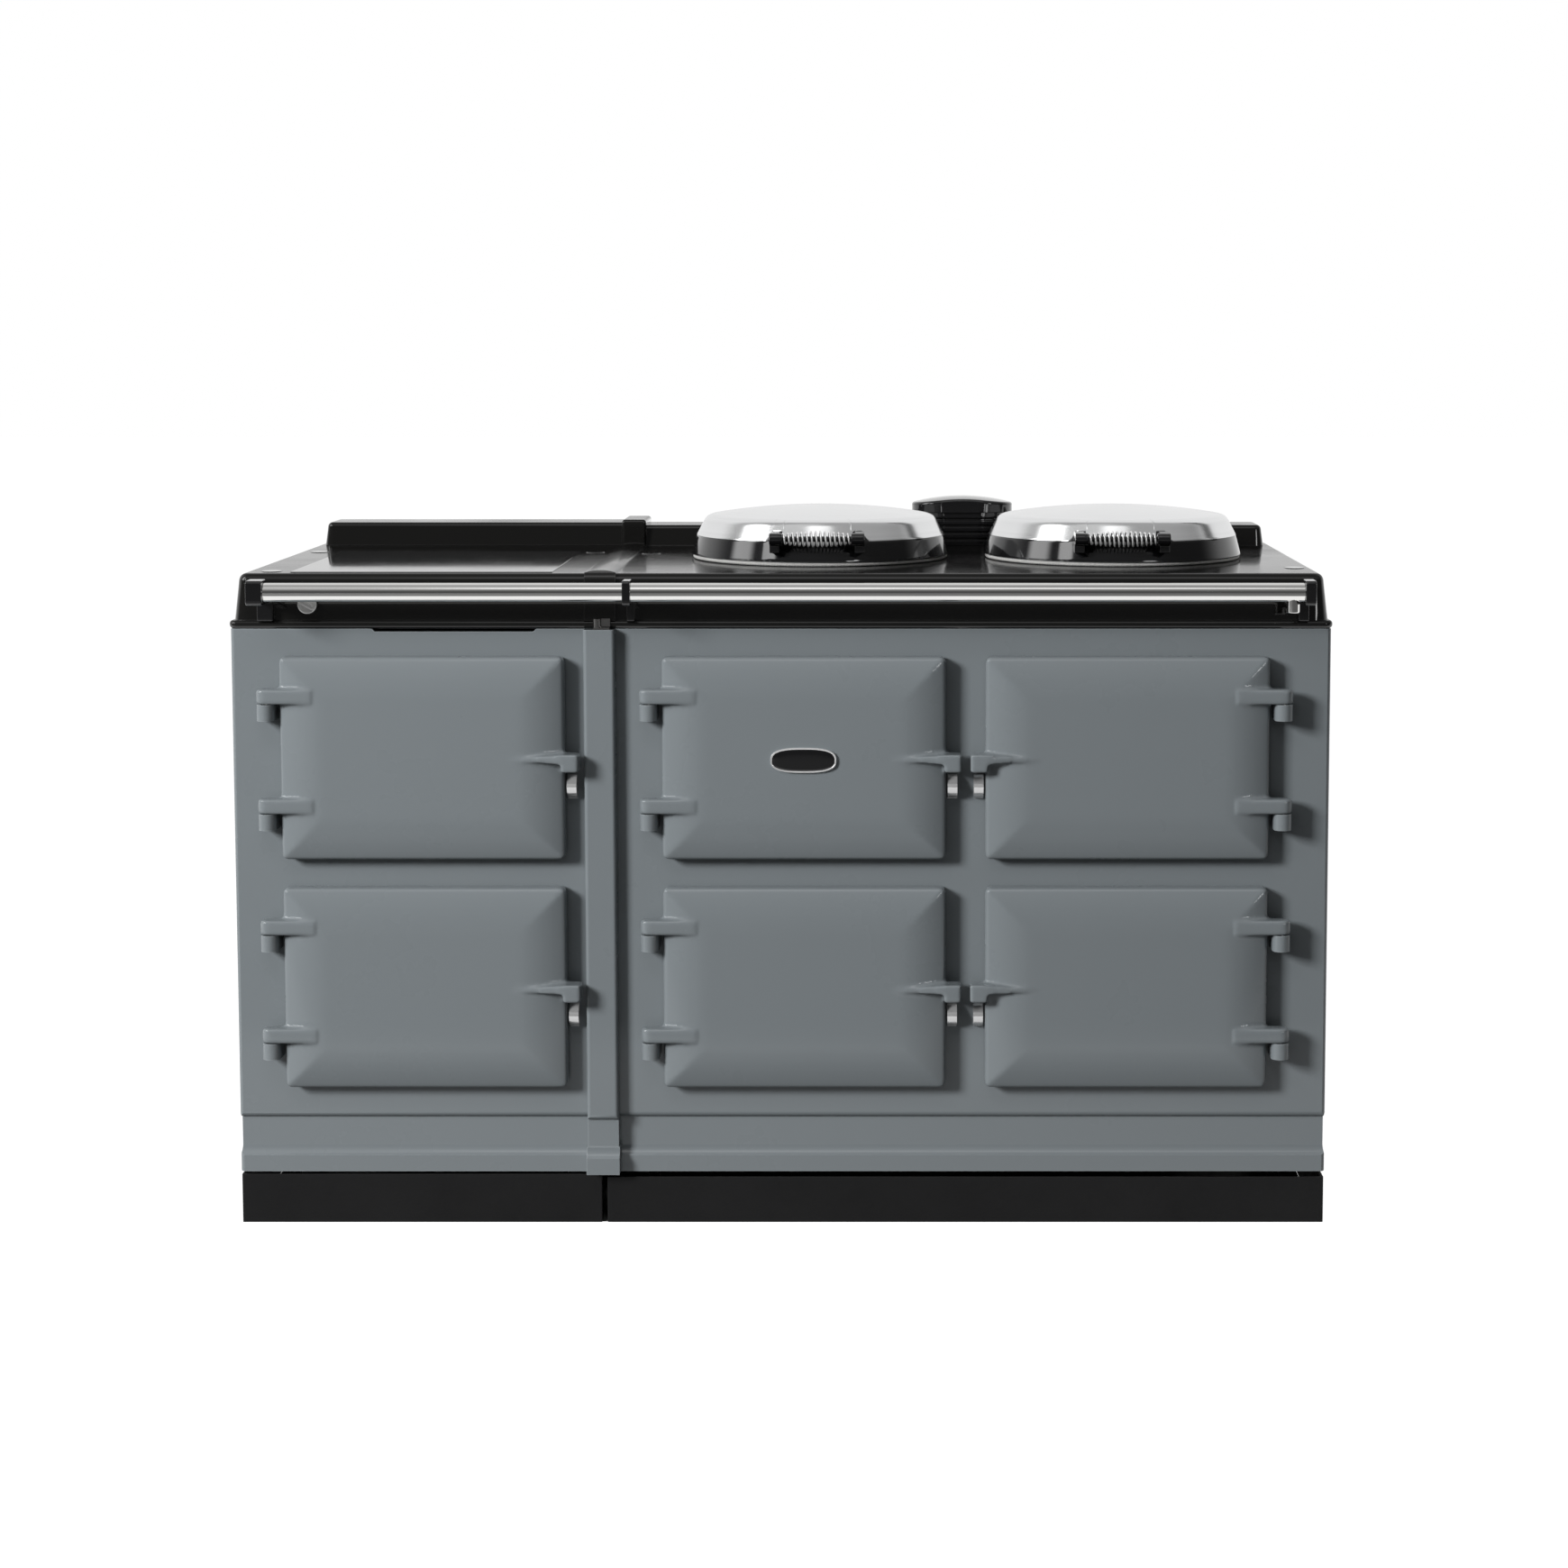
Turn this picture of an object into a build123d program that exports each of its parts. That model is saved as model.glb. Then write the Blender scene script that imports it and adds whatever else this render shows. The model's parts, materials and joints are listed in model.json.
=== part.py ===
from build123d import *
import math
import os

# A cast-iron and enamel range cooker: a two-door module with a flat glass hob, and beside it a
# four-door module with two round hotplates under sprung-handled, domed lids.
# Millimetres, +Z up, and the front faces -Y. The origin is on the floor, at the middle of the
# whole cooker's width and depth.

os.makedirs("parts", exist_ok=True)

# Clearances shared by every piece
module_gap = 2.0
cut_overrun = 5.0
moving_gap = 0.3
corner_ease = 0.4
running_clearance = 0.05

# Layout: one size of door in three columns and two rows, with the castings' margins round them
door_width = 379.0
door_height = 273.0
left_outer_margin = 68.5
left_joint_margin = 46.5
right_joint_margin = 83.5
right_outer_margin = 83.5
column_gap = 53.0
row_gap = 38.0
door_top_margin = 35.5
door_bottom_margin = 38.5
plate_height = 73.0
lid_radius = 184.0
lid_front_margin = 119.0
lid_hinge_gap = 16.0
lid_back_gap = 11.0
lug_radius = 9.5
upstand_depth = 92.0
upstand_back_gap = 6.0
oven_wall = 4.0
oven_back_space = 131.5
panel_thickness = 13.0
side_thickness = 9.0
back_thickness = 3.0
ledge_height = 154.0
hinge_on_right = {"left": False, "centre": False, "right": True}

left_module_width = left_outer_margin + door_width + left_joint_margin
right_module_width = right_joint_margin + 2 * door_width + column_gap + right_outer_margin
body_width = left_module_width + right_module_width
lid_setback = lid_front_margin + lid_radius
lid_hinge_depth = lid_hinge_gap + lug_radius + lid_back_gap
body_depth = lid_setback + lid_radius + lid_hinge_depth + upstand_depth + upstand_back_gap
oven_depth = body_depth - panel_thickness - oven_wall - oven_back_space - back_thickness
lower_row = ledge_height + door_bottom_margin + door_height / 2
upper_row = lower_row + door_height + row_gap
panel_top = upper_row + door_height / 2 + door_top_margin
hob_height = panel_top + plate_height

# Hand rail along the front of the top plates
rail_radius = 12.5
rail_wall = 1.5
rail_reach = 60.0
rail_drop = 19.0
rail_height = hob_height - rail_drop
rail_left_inset = 59.0
rail_right_inset = 45.5
rail_joint_offset = 42.0
bracket_widths = (21.0, 10.7, 14.0)
bracket_head = 16.5
bracket_round = 5.0
bracket_socket = 3.0
bracket_pad_height = 36.0
bracket_pad_depth = 9.0
bracket_arm_height = 22.0
rail_peg_radius = 8.5
rail_peg_length = 16.0
rail_peg_inset = 14.5

overall_depth = body_depth + rail_reach + bracket_head
face_y = rail_reach + bracket_head - overall_depth / 2
back_y = face_y + body_depth
body_y = (face_y + back_y) / 2
left_x = -body_width / 2
right_x = body_width / 2
joint_x = left_x + left_module_width
left_column = left_x + left_outer_margin + door_width / 2
centre_column = joint_x + right_joint_margin + door_width / 2
right_column = right_x - right_outer_margin - door_width / 2
column_places = {"left": left_column, "centre": centre_column, "right": right_column}
row_places = {"upper": upper_row, "lower": lower_row}

# Section of the front and side castings: flat face, ledge, recess and flared skirt
front_step = 7.0
side_step = 2.0
ledge_nose = 8.0
recess_bottom = 108.0
flare_bottom = 94.0
skirt_bottom = 71.0
body_corner = 7.0

# Door castings: a square flank round a raised, cushioned field
door_flank = 20.0
door_crown = 14.0
door_bevel = 62.0
door_edge_round = 4.0
door_corner = 9.0
door_wall = 8.0
door_back_gap = 2.0

# Door hinges: bars on the door that turn on pins standing in bosses on the front casting
hinge_offset = 17.5
hinge_reach = 24.5
hinge_heights = (84.0, -63.0)
bar_thickness = 25.0
bar_height = 20.5
bar_overlap = 45.0
bar_round = 2.0
boss_radius = 12.0
boss_height = 22.0
pin_radius = 5.0
pin_cover = 3.5

# Latch on each door's free edge, and the sprung catch beside it on the front casting
latch_inset = 73.0
latch_beyond = 20.5
latch_top = 7.7
latch_bottom = 16.3
latch_front = 43.0
latch_back = 12.0
latch_tip_height = 3.0
latch_fin_height = 13.0
latch_round = 2.5
catch_width = 13.0
catch_reach = 21.0
catch_sheet = 2.5
catch_top = 21.5
catch_bottom = 56.0
catch_edge_gap = 2.5

# Oven mouths, oven boxes and the pans on the backs of the doors
mouth_overlap = 19.5
mouth_width = door_width - 2 * mouth_overlap
mouth_height = door_height - 2 * mouth_overlap
mouth_corner = 12.0
plug_clearance = 6.0
plug_reach = 28.0
runner_width = 8.0
runner_thickness = 3.0
runner_height = 62.0
shelf_bar_width = 6.0
shelf_bar_height = 5.0
shelf_wire_radius = 2.0
shelf_wire_count = 9
shelf_wire_sides = 6
shelf_side_gap = 1.0
shelf_front_setback = 40.0
shelf_back_gap = 30.0
shelf_depth = oven_depth - shelf_front_setback - shelf_back_gap
compartment_depth = 105.0
fascia_thickness = 4.0
fascia_setback = 60.0
control_pitch = 92.0
control_radius = 19.0
control_depth = 17.0
control_shaft_radius = 4.0
control_shaft_length = 20.0
control_grip_width = 7.0

# Top plates: a bead on the castings, tapered sides, a rolled edge and a flat top
bead_height = 11.0
bead_reach = 2.5
bead_corner = 12.0
bead_round = 4.9
plate_inset = 2.0
plate_corner = 22.0
plate_draft = 6.7
plate_round = 11.0
plate_wall = 8.0
strip_width = 42.0
strip_raise = 4.5
strip_edge_raise = 1.5
post_width = 37.0
post_height = 40.0
post_proud = 8.0
post_round = 5.0
upstand_inset = 24.0
upstand_heights = (35.0, 31.0)
upstand_draft = 8.0
upstand_corner = 14.0
upstand_round = 7.0
upstand_wall = 6.0

# Flat glass hob and the cover plugs in the plates
glass_side_margin = 75.0
glass_joint_margin = 66.0
glass_left = left_x + glass_side_margin
glass_width = left_module_width - glass_side_margin - glass_joint_margin
glass_setback = 28.0
glass_depth = 369.0
glass_thickness = 5.0
glass_proud = 1.0
glass_bevel = 0.8
glass_gap = 0.5
glass_ledge = 14.0
glass_corner = 3.0
plug_offsets = {
    "left side": ((47.0, 47.0), (43.0, 396.0)),
    "joint": ((-45.0, 389.0), (39.0, 365.0)),
    "right side": ((-36.0, 105.0),),
}
plug_datums = {"left side": left_x, "joint": joint_x, "right side": right_x}
plug_places = [
    (plug_datums[name] + x, setback) for name, places in plug_offsets.items() for x, setback in places
]
plug_radius = 14.0
plug_stem_radius = 9.0
plug_recess = 1.4
plug_dome = 0.8
plug_gap = 0.5

# Rotary switch of the glass hob
switch_inset = 104.0
switch_rise = 33.0
switch_place = (left_x + switch_inset, panel_top + switch_rise)
switch_radius = 13.0
switch_depth = 7.0
switch_grip_depth = 7.0
switch_grip_width = 5.0
switch_grip_angle = -30.0
switch_edge_round = 1.5
switch_shaft_radius = 4.0
switch_shaft_length = 24.0
slot_inset = 189.0
slot_left = left_x + slot_inset
slot_width = 220.0
slot_depth = 4.0
slot_slant = 4.0

# Hotplates and their lids, from the hob surface up
lid_shift = 8.0
lid_middle_x = (joint_x + right_x) / 2 + lid_shift
lid_gap = 51.0
lid_spacing = 2 * lid_radius + lid_gap
hotplate_inset = 22.0
hotplate_radius = lid_radius - hotplate_inset
hotplate_thickness = 42.0
hotplate_proud = 3.0
hotplate_gap = 1.5
hotplate_edge = 2.0
seal_inset = 4.5
seal_radius = lid_radius - seal_inset
seal_sides = 6
seal_gap = 0.4
lid_bottom = 6.5
lid_split = 34.0
lid_split_inset = 7.0
lid_split_radius = lid_radius - lid_split_inset
lid_shoulder = 55.0
lid_shoulder_inset = 18.0
lid_shoulder_radius = lid_radius - lid_shoulder_inset
lid_crown_edge = 63.5
lid_crown_inset = 34.0
lid_crown_edge_radius = lid_radius - lid_crown_inset
lid_apex = 75.4
lid_wall = 3.0
lid_foot = 14.0
liner_inset = 26.0
liner_radius = lid_radius - liner_inset
liner_height = 40.0
lid_shoulder_bulge = 2.0
lid_shoulder_lift = 1.4
ear_top = 48.0
ear_margin = 1.0
ear_run = 8.0

# Lid hinge: lugs on the plate, a knuckle on the lid and a pin through them
lid_hinge_height = 22.0
lug_width = 12.0
knuckle_width = 44.0
knuckle_gap = 0.5
lid_pin_radius = 4.0

# Lid handle: two brackets and a rod in a barrel-shaped coil
handle_stand = 16.0
handle_reach = lid_radius + handle_stand
handle_height = 39.6
handle_span = 117.0
handle_bracket_width = 13.7
handle_bracket_half = 8.4
handle_foot_height = 19.5
handle_foot_depth = 13.0
handle_rod_radius = 4.0
collar_radius = 8.2
collar_length = 4.5
coil_wire = 2.4
coil_end_radius = 6.4
coil_middle_radius = 10.3
coil_turns = 15
coil_end_run = 2.6
coil_lead = 3.4
coil_samples = 24
coil_sides = 6

# Vent at the back between the lids
vent_width = 132.0
vent_body_depth = 78.0
vent_cap_width = 153.0
vent_cap_depth = 92.0
vent_cap_bottom = 50.0
vent_cap_edge = 64.0
vent_cap_top = 74.0
vent_cap_round = 5.0
vent_slot_height = 4.0
vent_slot_depth = 6.0
vent_slot_count = 4
vent_front_gap = 7.0
vent_clearance = 1.0

# Joint pilaster between the modules and the clip on top of it
pilaster_width = 42.0
pilaster_proud = 17.0
pilaster_round = 5.0
pilaster_foot_extra = 1.5
clip_width = 22.0
clip_height = 14.0
clip_depth = 11.0
clip_sheet = 2.5
clip_barrel_radius = 5.0
clip_right_inset = 6.7

# Plinths, base plates and levelling feet
plinth_heights = (67.0, 63.0)
plinth_sheet = 3.0
plinth_setback = 1.0
plinth_side_length = 560.0
plinth_joint_gap = 5.0
plinth_rounding = 2.0
base_thickness = 18.0
foot_radius = 22.0
foot_thickness = 12.0
foot_stud_radius = 8.0
foot_inset = 62.0
foot_tab_width = 26.0

# Insulation and heating elements inside
insulation_gap = 6.0
insulation_top = 788.0
element_radius = 4.0
element_sides = 6
element_side_gap = 60.0
element_front_gap = 170.0
element_corner = 44.0
element_drop = 12.0
ring_element_inset = 52.0
ring_element_radius = hotplate_radius - ring_element_inset
ring_element_thickness = 8.0
coil_disc_gap = 18.25
coil_disc_radius = glass_width / 4 - coil_disc_gap
coil_disc_thickness = 6.0
coil_disc_shares = ((-0.25, -0.25), (0.25, 0.25))

# Plain oval plaque on the middle upper door
plaque_width = 88.0
plaque_height = 34.0
plaque_depth = 4.0
plaque_rim = 3.0
plaque_recess = 1.2


def block(x0, x1, y0, y1, z0, z1):
    """A box between two corners."""
    middle = ((x0 + x1) / 2, (y0 + y1) / 2, (z0 + z1) / 2)
    return Pos(*middle) * Box(x1 - x0, y1 - y0, z1 - z0)


def along_x(face, x0, x1):
    """A face drawn in Y and Z, drawn out from x0 to x1."""
    return extrude(Plane.YZ.offset(x0) * face, x1 - x0)


def along_y(face, y0, y1):
    """A face drawn in X and Z, drawn out from y0 to y1."""
    return extrude(Plane.XZ.offset(-y1) * face, y1 - y0)


def along_z(face, z0, z1):
    """A face drawn in X and Y, drawn out from z0 to z1."""
    return extrude(Plane.XY.offset(z0) * face, z1 - z0)


def rod_x(radius, x0, x1, y, z):
    return along_x(Pos(y, z) * Circle(radius), x0, x1)


def rod_y(radius, x, y0, y1, z):
    return along_y(Pos(x, z) * Circle(radius), y0, y1)


def rod_z(radius, x, y, z0, z1):
    return along_z(Pos(x, y) * Circle(radius), z0, z1)


def polygon(*points):
    return make_face(Polyline(*points, close=True))


def save(name, shape):
    """Write one sub-part."""
    solids = shape.solids()
    export_step(Compound(children=list(solids)) if len(solids) > 1 else solids[0], f"parts/{name}.step")


def door_places():
    """Every door as name, centre x, centre z and whether it hangs on its right edge."""
    for column, x in column_places.items():
        for row, z in row_places.items():
            yield f"{column}_{row}", x, z, hinge_on_right[column]


def hinge_x(x, on_right):
    side = 1 if on_right else -1
    return x + side * (door_width / 2 + hinge_offset)


hinge_y = face_y - hinge_reach


# Front, side and back castings


def arc_middle(across, down):
    """The middle of an arc that starts straight down and ends that far across and down."""
    radius = (across**2 + down**2) / (2 * across)
    half_turn = math.asin(min(1, down / radius)) / 2
    return radius * (1 - math.cos(half_turn)), radius * math.sin(half_turn)


def stepped_face(origin, step, thickness, proud=0):
    """Section through a casting, as distance in from its outer face and height."""
    inward = 1 if thickness > 0 else -1
    outer = origin - inward * proud
    recess = outer + inward * step
    back = origin + thickness
    across, down = arc_middle(step, ledge_nose)
    nose_mid = (outer + inward * across, ledge_height - down)
    across, down = arc_middle(step, recess_bottom - flare_bottom)
    cove_mid = (recess - inward * across, recess_bottom - down)
    edge = [
        Line((outer, panel_top), (outer, ledge_height)),
        ThreePointArc((outer, ledge_height), nose_mid, (recess, ledge_height - ledge_nose)),
        Line((recess, ledge_height - ledge_nose), (recess, recess_bottom)),
        ThreePointArc((recess, recess_bottom), cove_mid, (outer, flare_bottom)),
        Line((outer, flare_bottom), (outer, skirt_bottom)),
        Line((outer, skirt_bottom), (back, skirt_bottom)),
        Line((back, skirt_bottom), (back, panel_top)),
        Line((back, panel_top), (outer, panel_top)),
    ]
    return make_face(edge)


def body_plan():
    """The body's outline from above, rounded at its corners, as a tall block."""
    ease = 2 * corner_ease
    plan = Pos(0, body_y) * RectangleRounded(body_width + ease, body_depth + ease, body_corner + ease)
    return along_z(plan, skirt_bottom - cut_overrun, panel_top + cut_overrun)


def door_mouth(x, z, y0, y1, margin=0):
    """The hole for a door's mouth, wider by a margin all round."""
    width = mouth_width + 2 * margin
    height = mouth_height + 2 * margin
    return along_y(Pos(x, z) * RectangleRounded(width, height, mouth_corner), y0, y1)


def boss_span(z, offset):
    """Bottom and top of the boss under a hinge bar."""
    top = z + offset - bar_height / 2 - moving_gap
    return top - boss_height, top


def hinge_boss(x, z, offset, on_right):
    """A boss on the casting, joined to it by a web behind the pin."""
    low, high = boss_span(z, offset)
    axis = hinge_x(x, on_right)
    plan = Pos(axis, hinge_y) * Circle(boss_radius)
    web_depth = hinge_reach + panel_thickness / 2
    plan += Pos(axis, hinge_y + web_depth / 2) * Rectangle(2 * boss_radius, web_depth)
    return along_z(plan, low, high)


def hinge_pin(x, z, offset, on_right):
    low, high = boss_span(z, offset)
    top = z + offset + bar_height / 2 - pin_cover
    return rod_z(pin_radius, hinge_x(x, on_right), hinge_y, low, top)


def module_span(on_left):
    """The module's side to the joint, as low and high x."""
    if on_left:
        return left_x, joint_x - module_gap / 2
    return joint_x + module_gap / 2, right_x


def front_panel(on_left):
    """One module's front casting, with its door mouths and hinge bosses."""
    low, high = module_span(on_left)
    panel = along_x(stepped_face(face_y, front_step, panel_thickness), low, high)
    side = left_x if on_left else right_x
    inward = body_width / 2 if on_left else -body_width
    panel &= along_y(stepped_face(side, side_step, inward), face_y - cut_overrun, back_y)
    panel &= body_plan()
    for name, x, z, on_right in door_places():
        if low < x < high:
            panel -= door_mouth(x, z, face_y - cut_overrun, face_y + panel_thickness + cut_overrun)
            for offset in hinge_heights:
                panel += hinge_boss(x, z, offset, on_right)
                panel -= hinge_pin(x, z, offset, on_right)
    if on_left:
        slot_right = slot_left + slot_width
        slot = polygon(
            (slot_left + slot_slant, panel_top - slot_depth),
            (slot_right - slot_slant, panel_top - slot_depth),
            (slot_right + slot_slant, panel_top + slot_depth),
            (slot_left - slot_slant, panel_top + slot_depth),
        )
        panel -= along_y(slot, face_y - cut_overrun, face_y + panel_thickness + cut_overrun)
    return panel


def side_panel(on_left):
    side = left_x if on_left else right_x
    inward = side_thickness if on_left else -side_thickness
    section = stepped_face(side, side_step, inward)
    return along_y(section, face_y + panel_thickness, back_y - back_thickness)


def back_panel(on_left):
    """A flat sheet between the sides, down to the skirt."""
    low, high = module_span(on_left)
    inset = side_step if on_left else 0
    low += inset
    high -= side_step - inset
    return block(low, high, back_y - back_thickness, back_y, skirt_bottom, panel_top)


def joint_pilaster():
    """The raised strip over the joint between the modules, following the ledge and skirt."""
    low = joint_x - pilaster_width / 2
    high = joint_x + pilaster_width / 2
    strip = along_x(stepped_face(face_y, front_step, panel_thickness / 2, pilaster_proud), low, high)
    foot = along_x(
        stepped_face(face_y, front_step, panel_thickness / 2, pilaster_proud + pilaster_foot_extra),
        low - pilaster_foot_extra,
        high + pilaster_foot_extra,
    )
    foot &= block(
        low - pilaster_width, high + pilaster_width, face_y - body_depth, back_y,
        skirt_bottom - cut_overrun, recess_bottom,
    )
    plan = Rectangle(pilaster_width, 2 * pilaster_proud)
    plan = fillet(plan.vertices(), pilaster_round)
    strip &= along_z(Pos(joint_x, face_y) * plan, skirt_bottom - cut_overrun, panel_top + cut_overrun)
    strip += foot
    return strip - along_x(
        stepped_face(face_y, front_step, panel_thickness), low - pilaster_width, high + pilaster_width
    )


def joint_clip():
    """A folded steel clip with a rolled end, on top of the pilaster against the bead."""
    x1 = joint_x + pilaster_width / 2 - clip_right_inset
    x0 = x1 - clip_width
    y1 = face_y - bead_reach
    y0 = y1 - clip_depth
    clip = block(x0, x1, y0, y1, panel_top, panel_top + clip_sheet)
    clip += block(x0, x1, y1 - clip_sheet, y1, panel_top, panel_top + clip_height)
    barrel_y = y0 + clip_barrel_radius
    clip += rod_z(clip_barrel_radius, x0 + clip_barrel_radius, barrel_y, panel_top, panel_top + clip_height)
    return clip


# Plinths, base plates and feet


def foot_places(on_left):
    low, high = module_span(on_left)
    for x in (low + foot_inset, high - foot_inset):
        for y in (face_y + foot_inset, back_y - foot_inset):
            yield x, y


def levelling_foot(x, y):
    foot = rod_z(foot_radius, x, y, 0, foot_thickness)
    return foot + rod_z(foot_stud_radius, x, y, foot_thickness, skirt_bottom)


def base_plate(on_left):
    low, high = module_span(on_left)
    outer = side_thickness + side_step
    x0 = low + (outer if on_left else 0)
    x1 = high - (0 if on_left else outer)
    return block(
        x0, x1, face_y + panel_thickness, back_y - back_thickness, skirt_bottom, skirt_bottom + base_thickness
    )


def plinth(on_left):
    """A folded board along the front and the outer side, clipped to the front feet."""
    low, high = module_span(on_left)
    height = plinth_heights[0 if on_left else 1]
    if on_left:
        low += plinth_setback
        high -= plinth_joint_gap / 2
        side_low, side_high = low, low + plinth_sheet
    else:
        low += plinth_joint_gap / 2
        high -= plinth_setback
        side_low, side_high = high - plinth_sheet, high
    y0 = face_y + plinth_setback
    board = block(low, high, y0, y0 + plinth_sheet, 0, height)
    board += block(side_low, side_high, y0, y0 + plinth_side_length, 0, height)
    for x, y in foot_places(on_left):
        if y < body_y:
            tab = block(
                x - foot_tab_width / 2, x + foot_tab_width / 2, y0 + plinth_sheet, y,
                height / 2, height / 2 + plinth_sheet,
            )
            board += tab - rod_z(foot_stud_radius, x, y, 0, height)
    corner = board.edges().filter_by(Axis.Z).filter_by(
        lambda edge: abs(edge.center().Y - y0) < running_clearance
    )
    return fillet(corner, plinth_rounding)


# Top plates, joint strip and upstands


def top_slab(grow):
    """The tapered block that both top plates are cut from, grown all round."""
    width = body_width - 2 * plate_inset + 2 * grow
    depth = body_depth - 2 * plate_inset + 2 * grow
    bottom = panel_top + bead_height
    plan = Plane.XY.offset(bottom) * Pos(0, body_y) * RectangleRounded(width, depth, plate_corner + grow)
    slab = extrude(plan, hob_height + grow - bottom, taper=plate_draft)
    return fillet(slab.faces().sort_by(Axis.Z)[-1].edges(), plate_round + grow)


def top_bead():
    """The rounded bead along the bottom of the plates, proud at the front and sides."""
    width = body_width + 2 * bead_reach
    depth = body_depth + bead_reach
    plan = Pos(0, body_y - bead_reach / 2) * RectangleRounded(width, depth, bead_corner)
    bead = along_z(plan, panel_top, panel_top + bead_height)
    rims = bead.faces().sort_by(Axis.Z)[-1].edges() + bead.faces().sort_by(Axis.Z)[0].edges()
    return fillet(rims, bead_round)


def plate_cavity(low, high):
    """The space inside one plate, open below."""
    inset = plate_inset + plate_wall
    plan = Pos(0, body_y) * Rectangle(body_width - 2 * inset, body_depth - 2 * inset)
    cavity = extrude(plan, hob_height - plate_wall - panel_top + cut_overrun, taper=plate_draft)
    cavity = Pos(0, 0, panel_top - cut_overrun) * cavity
    bounds = block(
        low + plate_wall, high - plate_wall, face_y, back_y, panel_top - cut_overrun, hob_height - plate_wall
    )
    return cavity & bounds


def lid_places():
    for name, side in (("left_lid", -1), ("right_lid", 1)):
        yield name, lid_middle_x + side * lid_spacing / 2, face_y + lid_setback


lid_axis_offset = lid_radius + lid_hinge_gap


def lug(x, y):
    """One ear of a lid's hinge, standing on the plate."""
    axis_y = y + lid_axis_offset
    axis_z = hob_height + lid_hinge_height
    face = Pos(axis_y, axis_z) * Circle(lug_radius)
    foot_height = lid_hinge_height + plate_wall / 2
    face += Pos(axis_y, axis_z - foot_height / 2) * Rectangle(2 * lug_radius, foot_height)
    return along_x(face, x - lug_width / 2, x + lug_width / 2)


def lug_places(x):
    reach = (knuckle_width + lug_width) / 2 + knuckle_gap
    return x - reach, x + reach


def lid_pin(x, y):
    reach = knuckle_width / 2 + knuckle_gap + lug_width
    return rod_x(lid_pin_radius, x - reach, x + reach, y + lid_axis_offset, hob_height + lid_hinge_height)


def plate_plug(x, setback):
    """A cover plug: a domed head in a shallow recess on a short stem."""
    y = face_y + setback
    seat = hob_height - plug_recess
    head = rod_z(plug_radius, x, y, seat, hob_height + plug_dome)
    head = chamfer(head.faces().sort_by(Axis.Z)[-1].edges(), plug_dome)
    return head + rod_z(plug_stem_radius, x, y, hob_height - plate_wall, seat)


def plug_hole(x, setback):
    y = face_y + setback
    hole = rod_z(plug_radius + plug_gap, x, y, hob_height - plug_recess, hob_height + cut_overrun)
    return hole + rod_z(plug_stem_radius, x, y, hob_height - plate_wall - cut_overrun, hob_height)


def glass_outline(margin):
    width = glass_width + 2 * margin
    depth = glass_depth + 2 * margin
    middle = (glass_left + glass_width / 2, face_y + glass_setback + glass_depth / 2)
    return Pos(*middle) * RectangleRounded(width, depth, glass_corner)


def hob_glass():
    base = hob_height + glass_proud - glass_thickness
    glass = along_z(glass_outline(0), base, base + glass_thickness)
    return chamfer(glass.faces().sort_by(Axis.Z)[-1].edges(), glass_bevel)


def top_plate(on_left):
    """One module's enamelled top plate: a hollow casting with a bead, open below."""
    low, high = module_span(on_left)
    plate = top_slab(0) + top_bead()
    far = bead_reach + cut_overrun
    x0 = low - far if on_left else low
    x1 = high if on_left else high + far
    plate &= block(x0, x1, face_y - far, back_y + far, panel_top - cut_overrun, hob_height + cut_overrun)
    plate -= plate_cavity(low, high)
    if on_left:
        base = hob_height + glass_proud - glass_thickness
        plate -= along_z(glass_outline(glass_gap), base, hob_height + cut_overrun)
        plate -= along_z(glass_outline(-glass_ledge), hob_height - plate_wall - cut_overrun, hob_height)
        x, z = switch_place
        hole = switch_shaft_radius + running_clearance
        plate -= rod_y(hole, x, face_y - cut_overrun, face_y + switch_shaft_length + cut_overrun, z)
    else:
        for name, x, y in lid_places():
            plate -= rod_z(
                hotplate_radius + hotplate_gap, x, y, hob_height - plate_wall - cut_overrun,
                hob_height + cut_overrun,
            )
            for lug_x in lug_places(x):
                plate += lug(lug_x, y)
            plate -= lid_pin(x, y)
    for x, setback in plug_places:
        if low < x < high:
            plate -= plug_hole(x, setback)
    return plate


post_front = back_y - upstand_back_gap - upstand_depth - post_proud


def joint_strip():
    """The strip over the plates' joint, with the rear post at its end."""
    x0 = joint_x - strip_width / 2
    x1 = joint_x + strip_width / 2
    low = panel_top + bead_height
    top = hob_height + strip_raise
    edge = hob_height + strip_edge_raise
    arch = make_face(
        [
            Line((x0, low), (x0, edge)),
            ThreePointArc((x0, edge), (joint_x, top), (x1, edge)),
            Line((x1, edge), (x1, low)),
            Line((x1, low), (x0, low)),
        ]
    )
    strip = top_slab(strip_raise) & along_y(arch, face_y - strip_raise - cut_overrun, post_front)
    strip -= top_slab(0)
    depth = back_y - upstand_back_gap - post_front
    plan = Pos(joint_x, post_front + depth / 2) * RectangleRounded(post_width, depth, post_round)
    post = along_z(plan, hob_height, hob_height + post_height)
    post = fillet(post.faces().sort_by(Axis.Z)[-1].edges(), post_round)
    return strip + post


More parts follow.
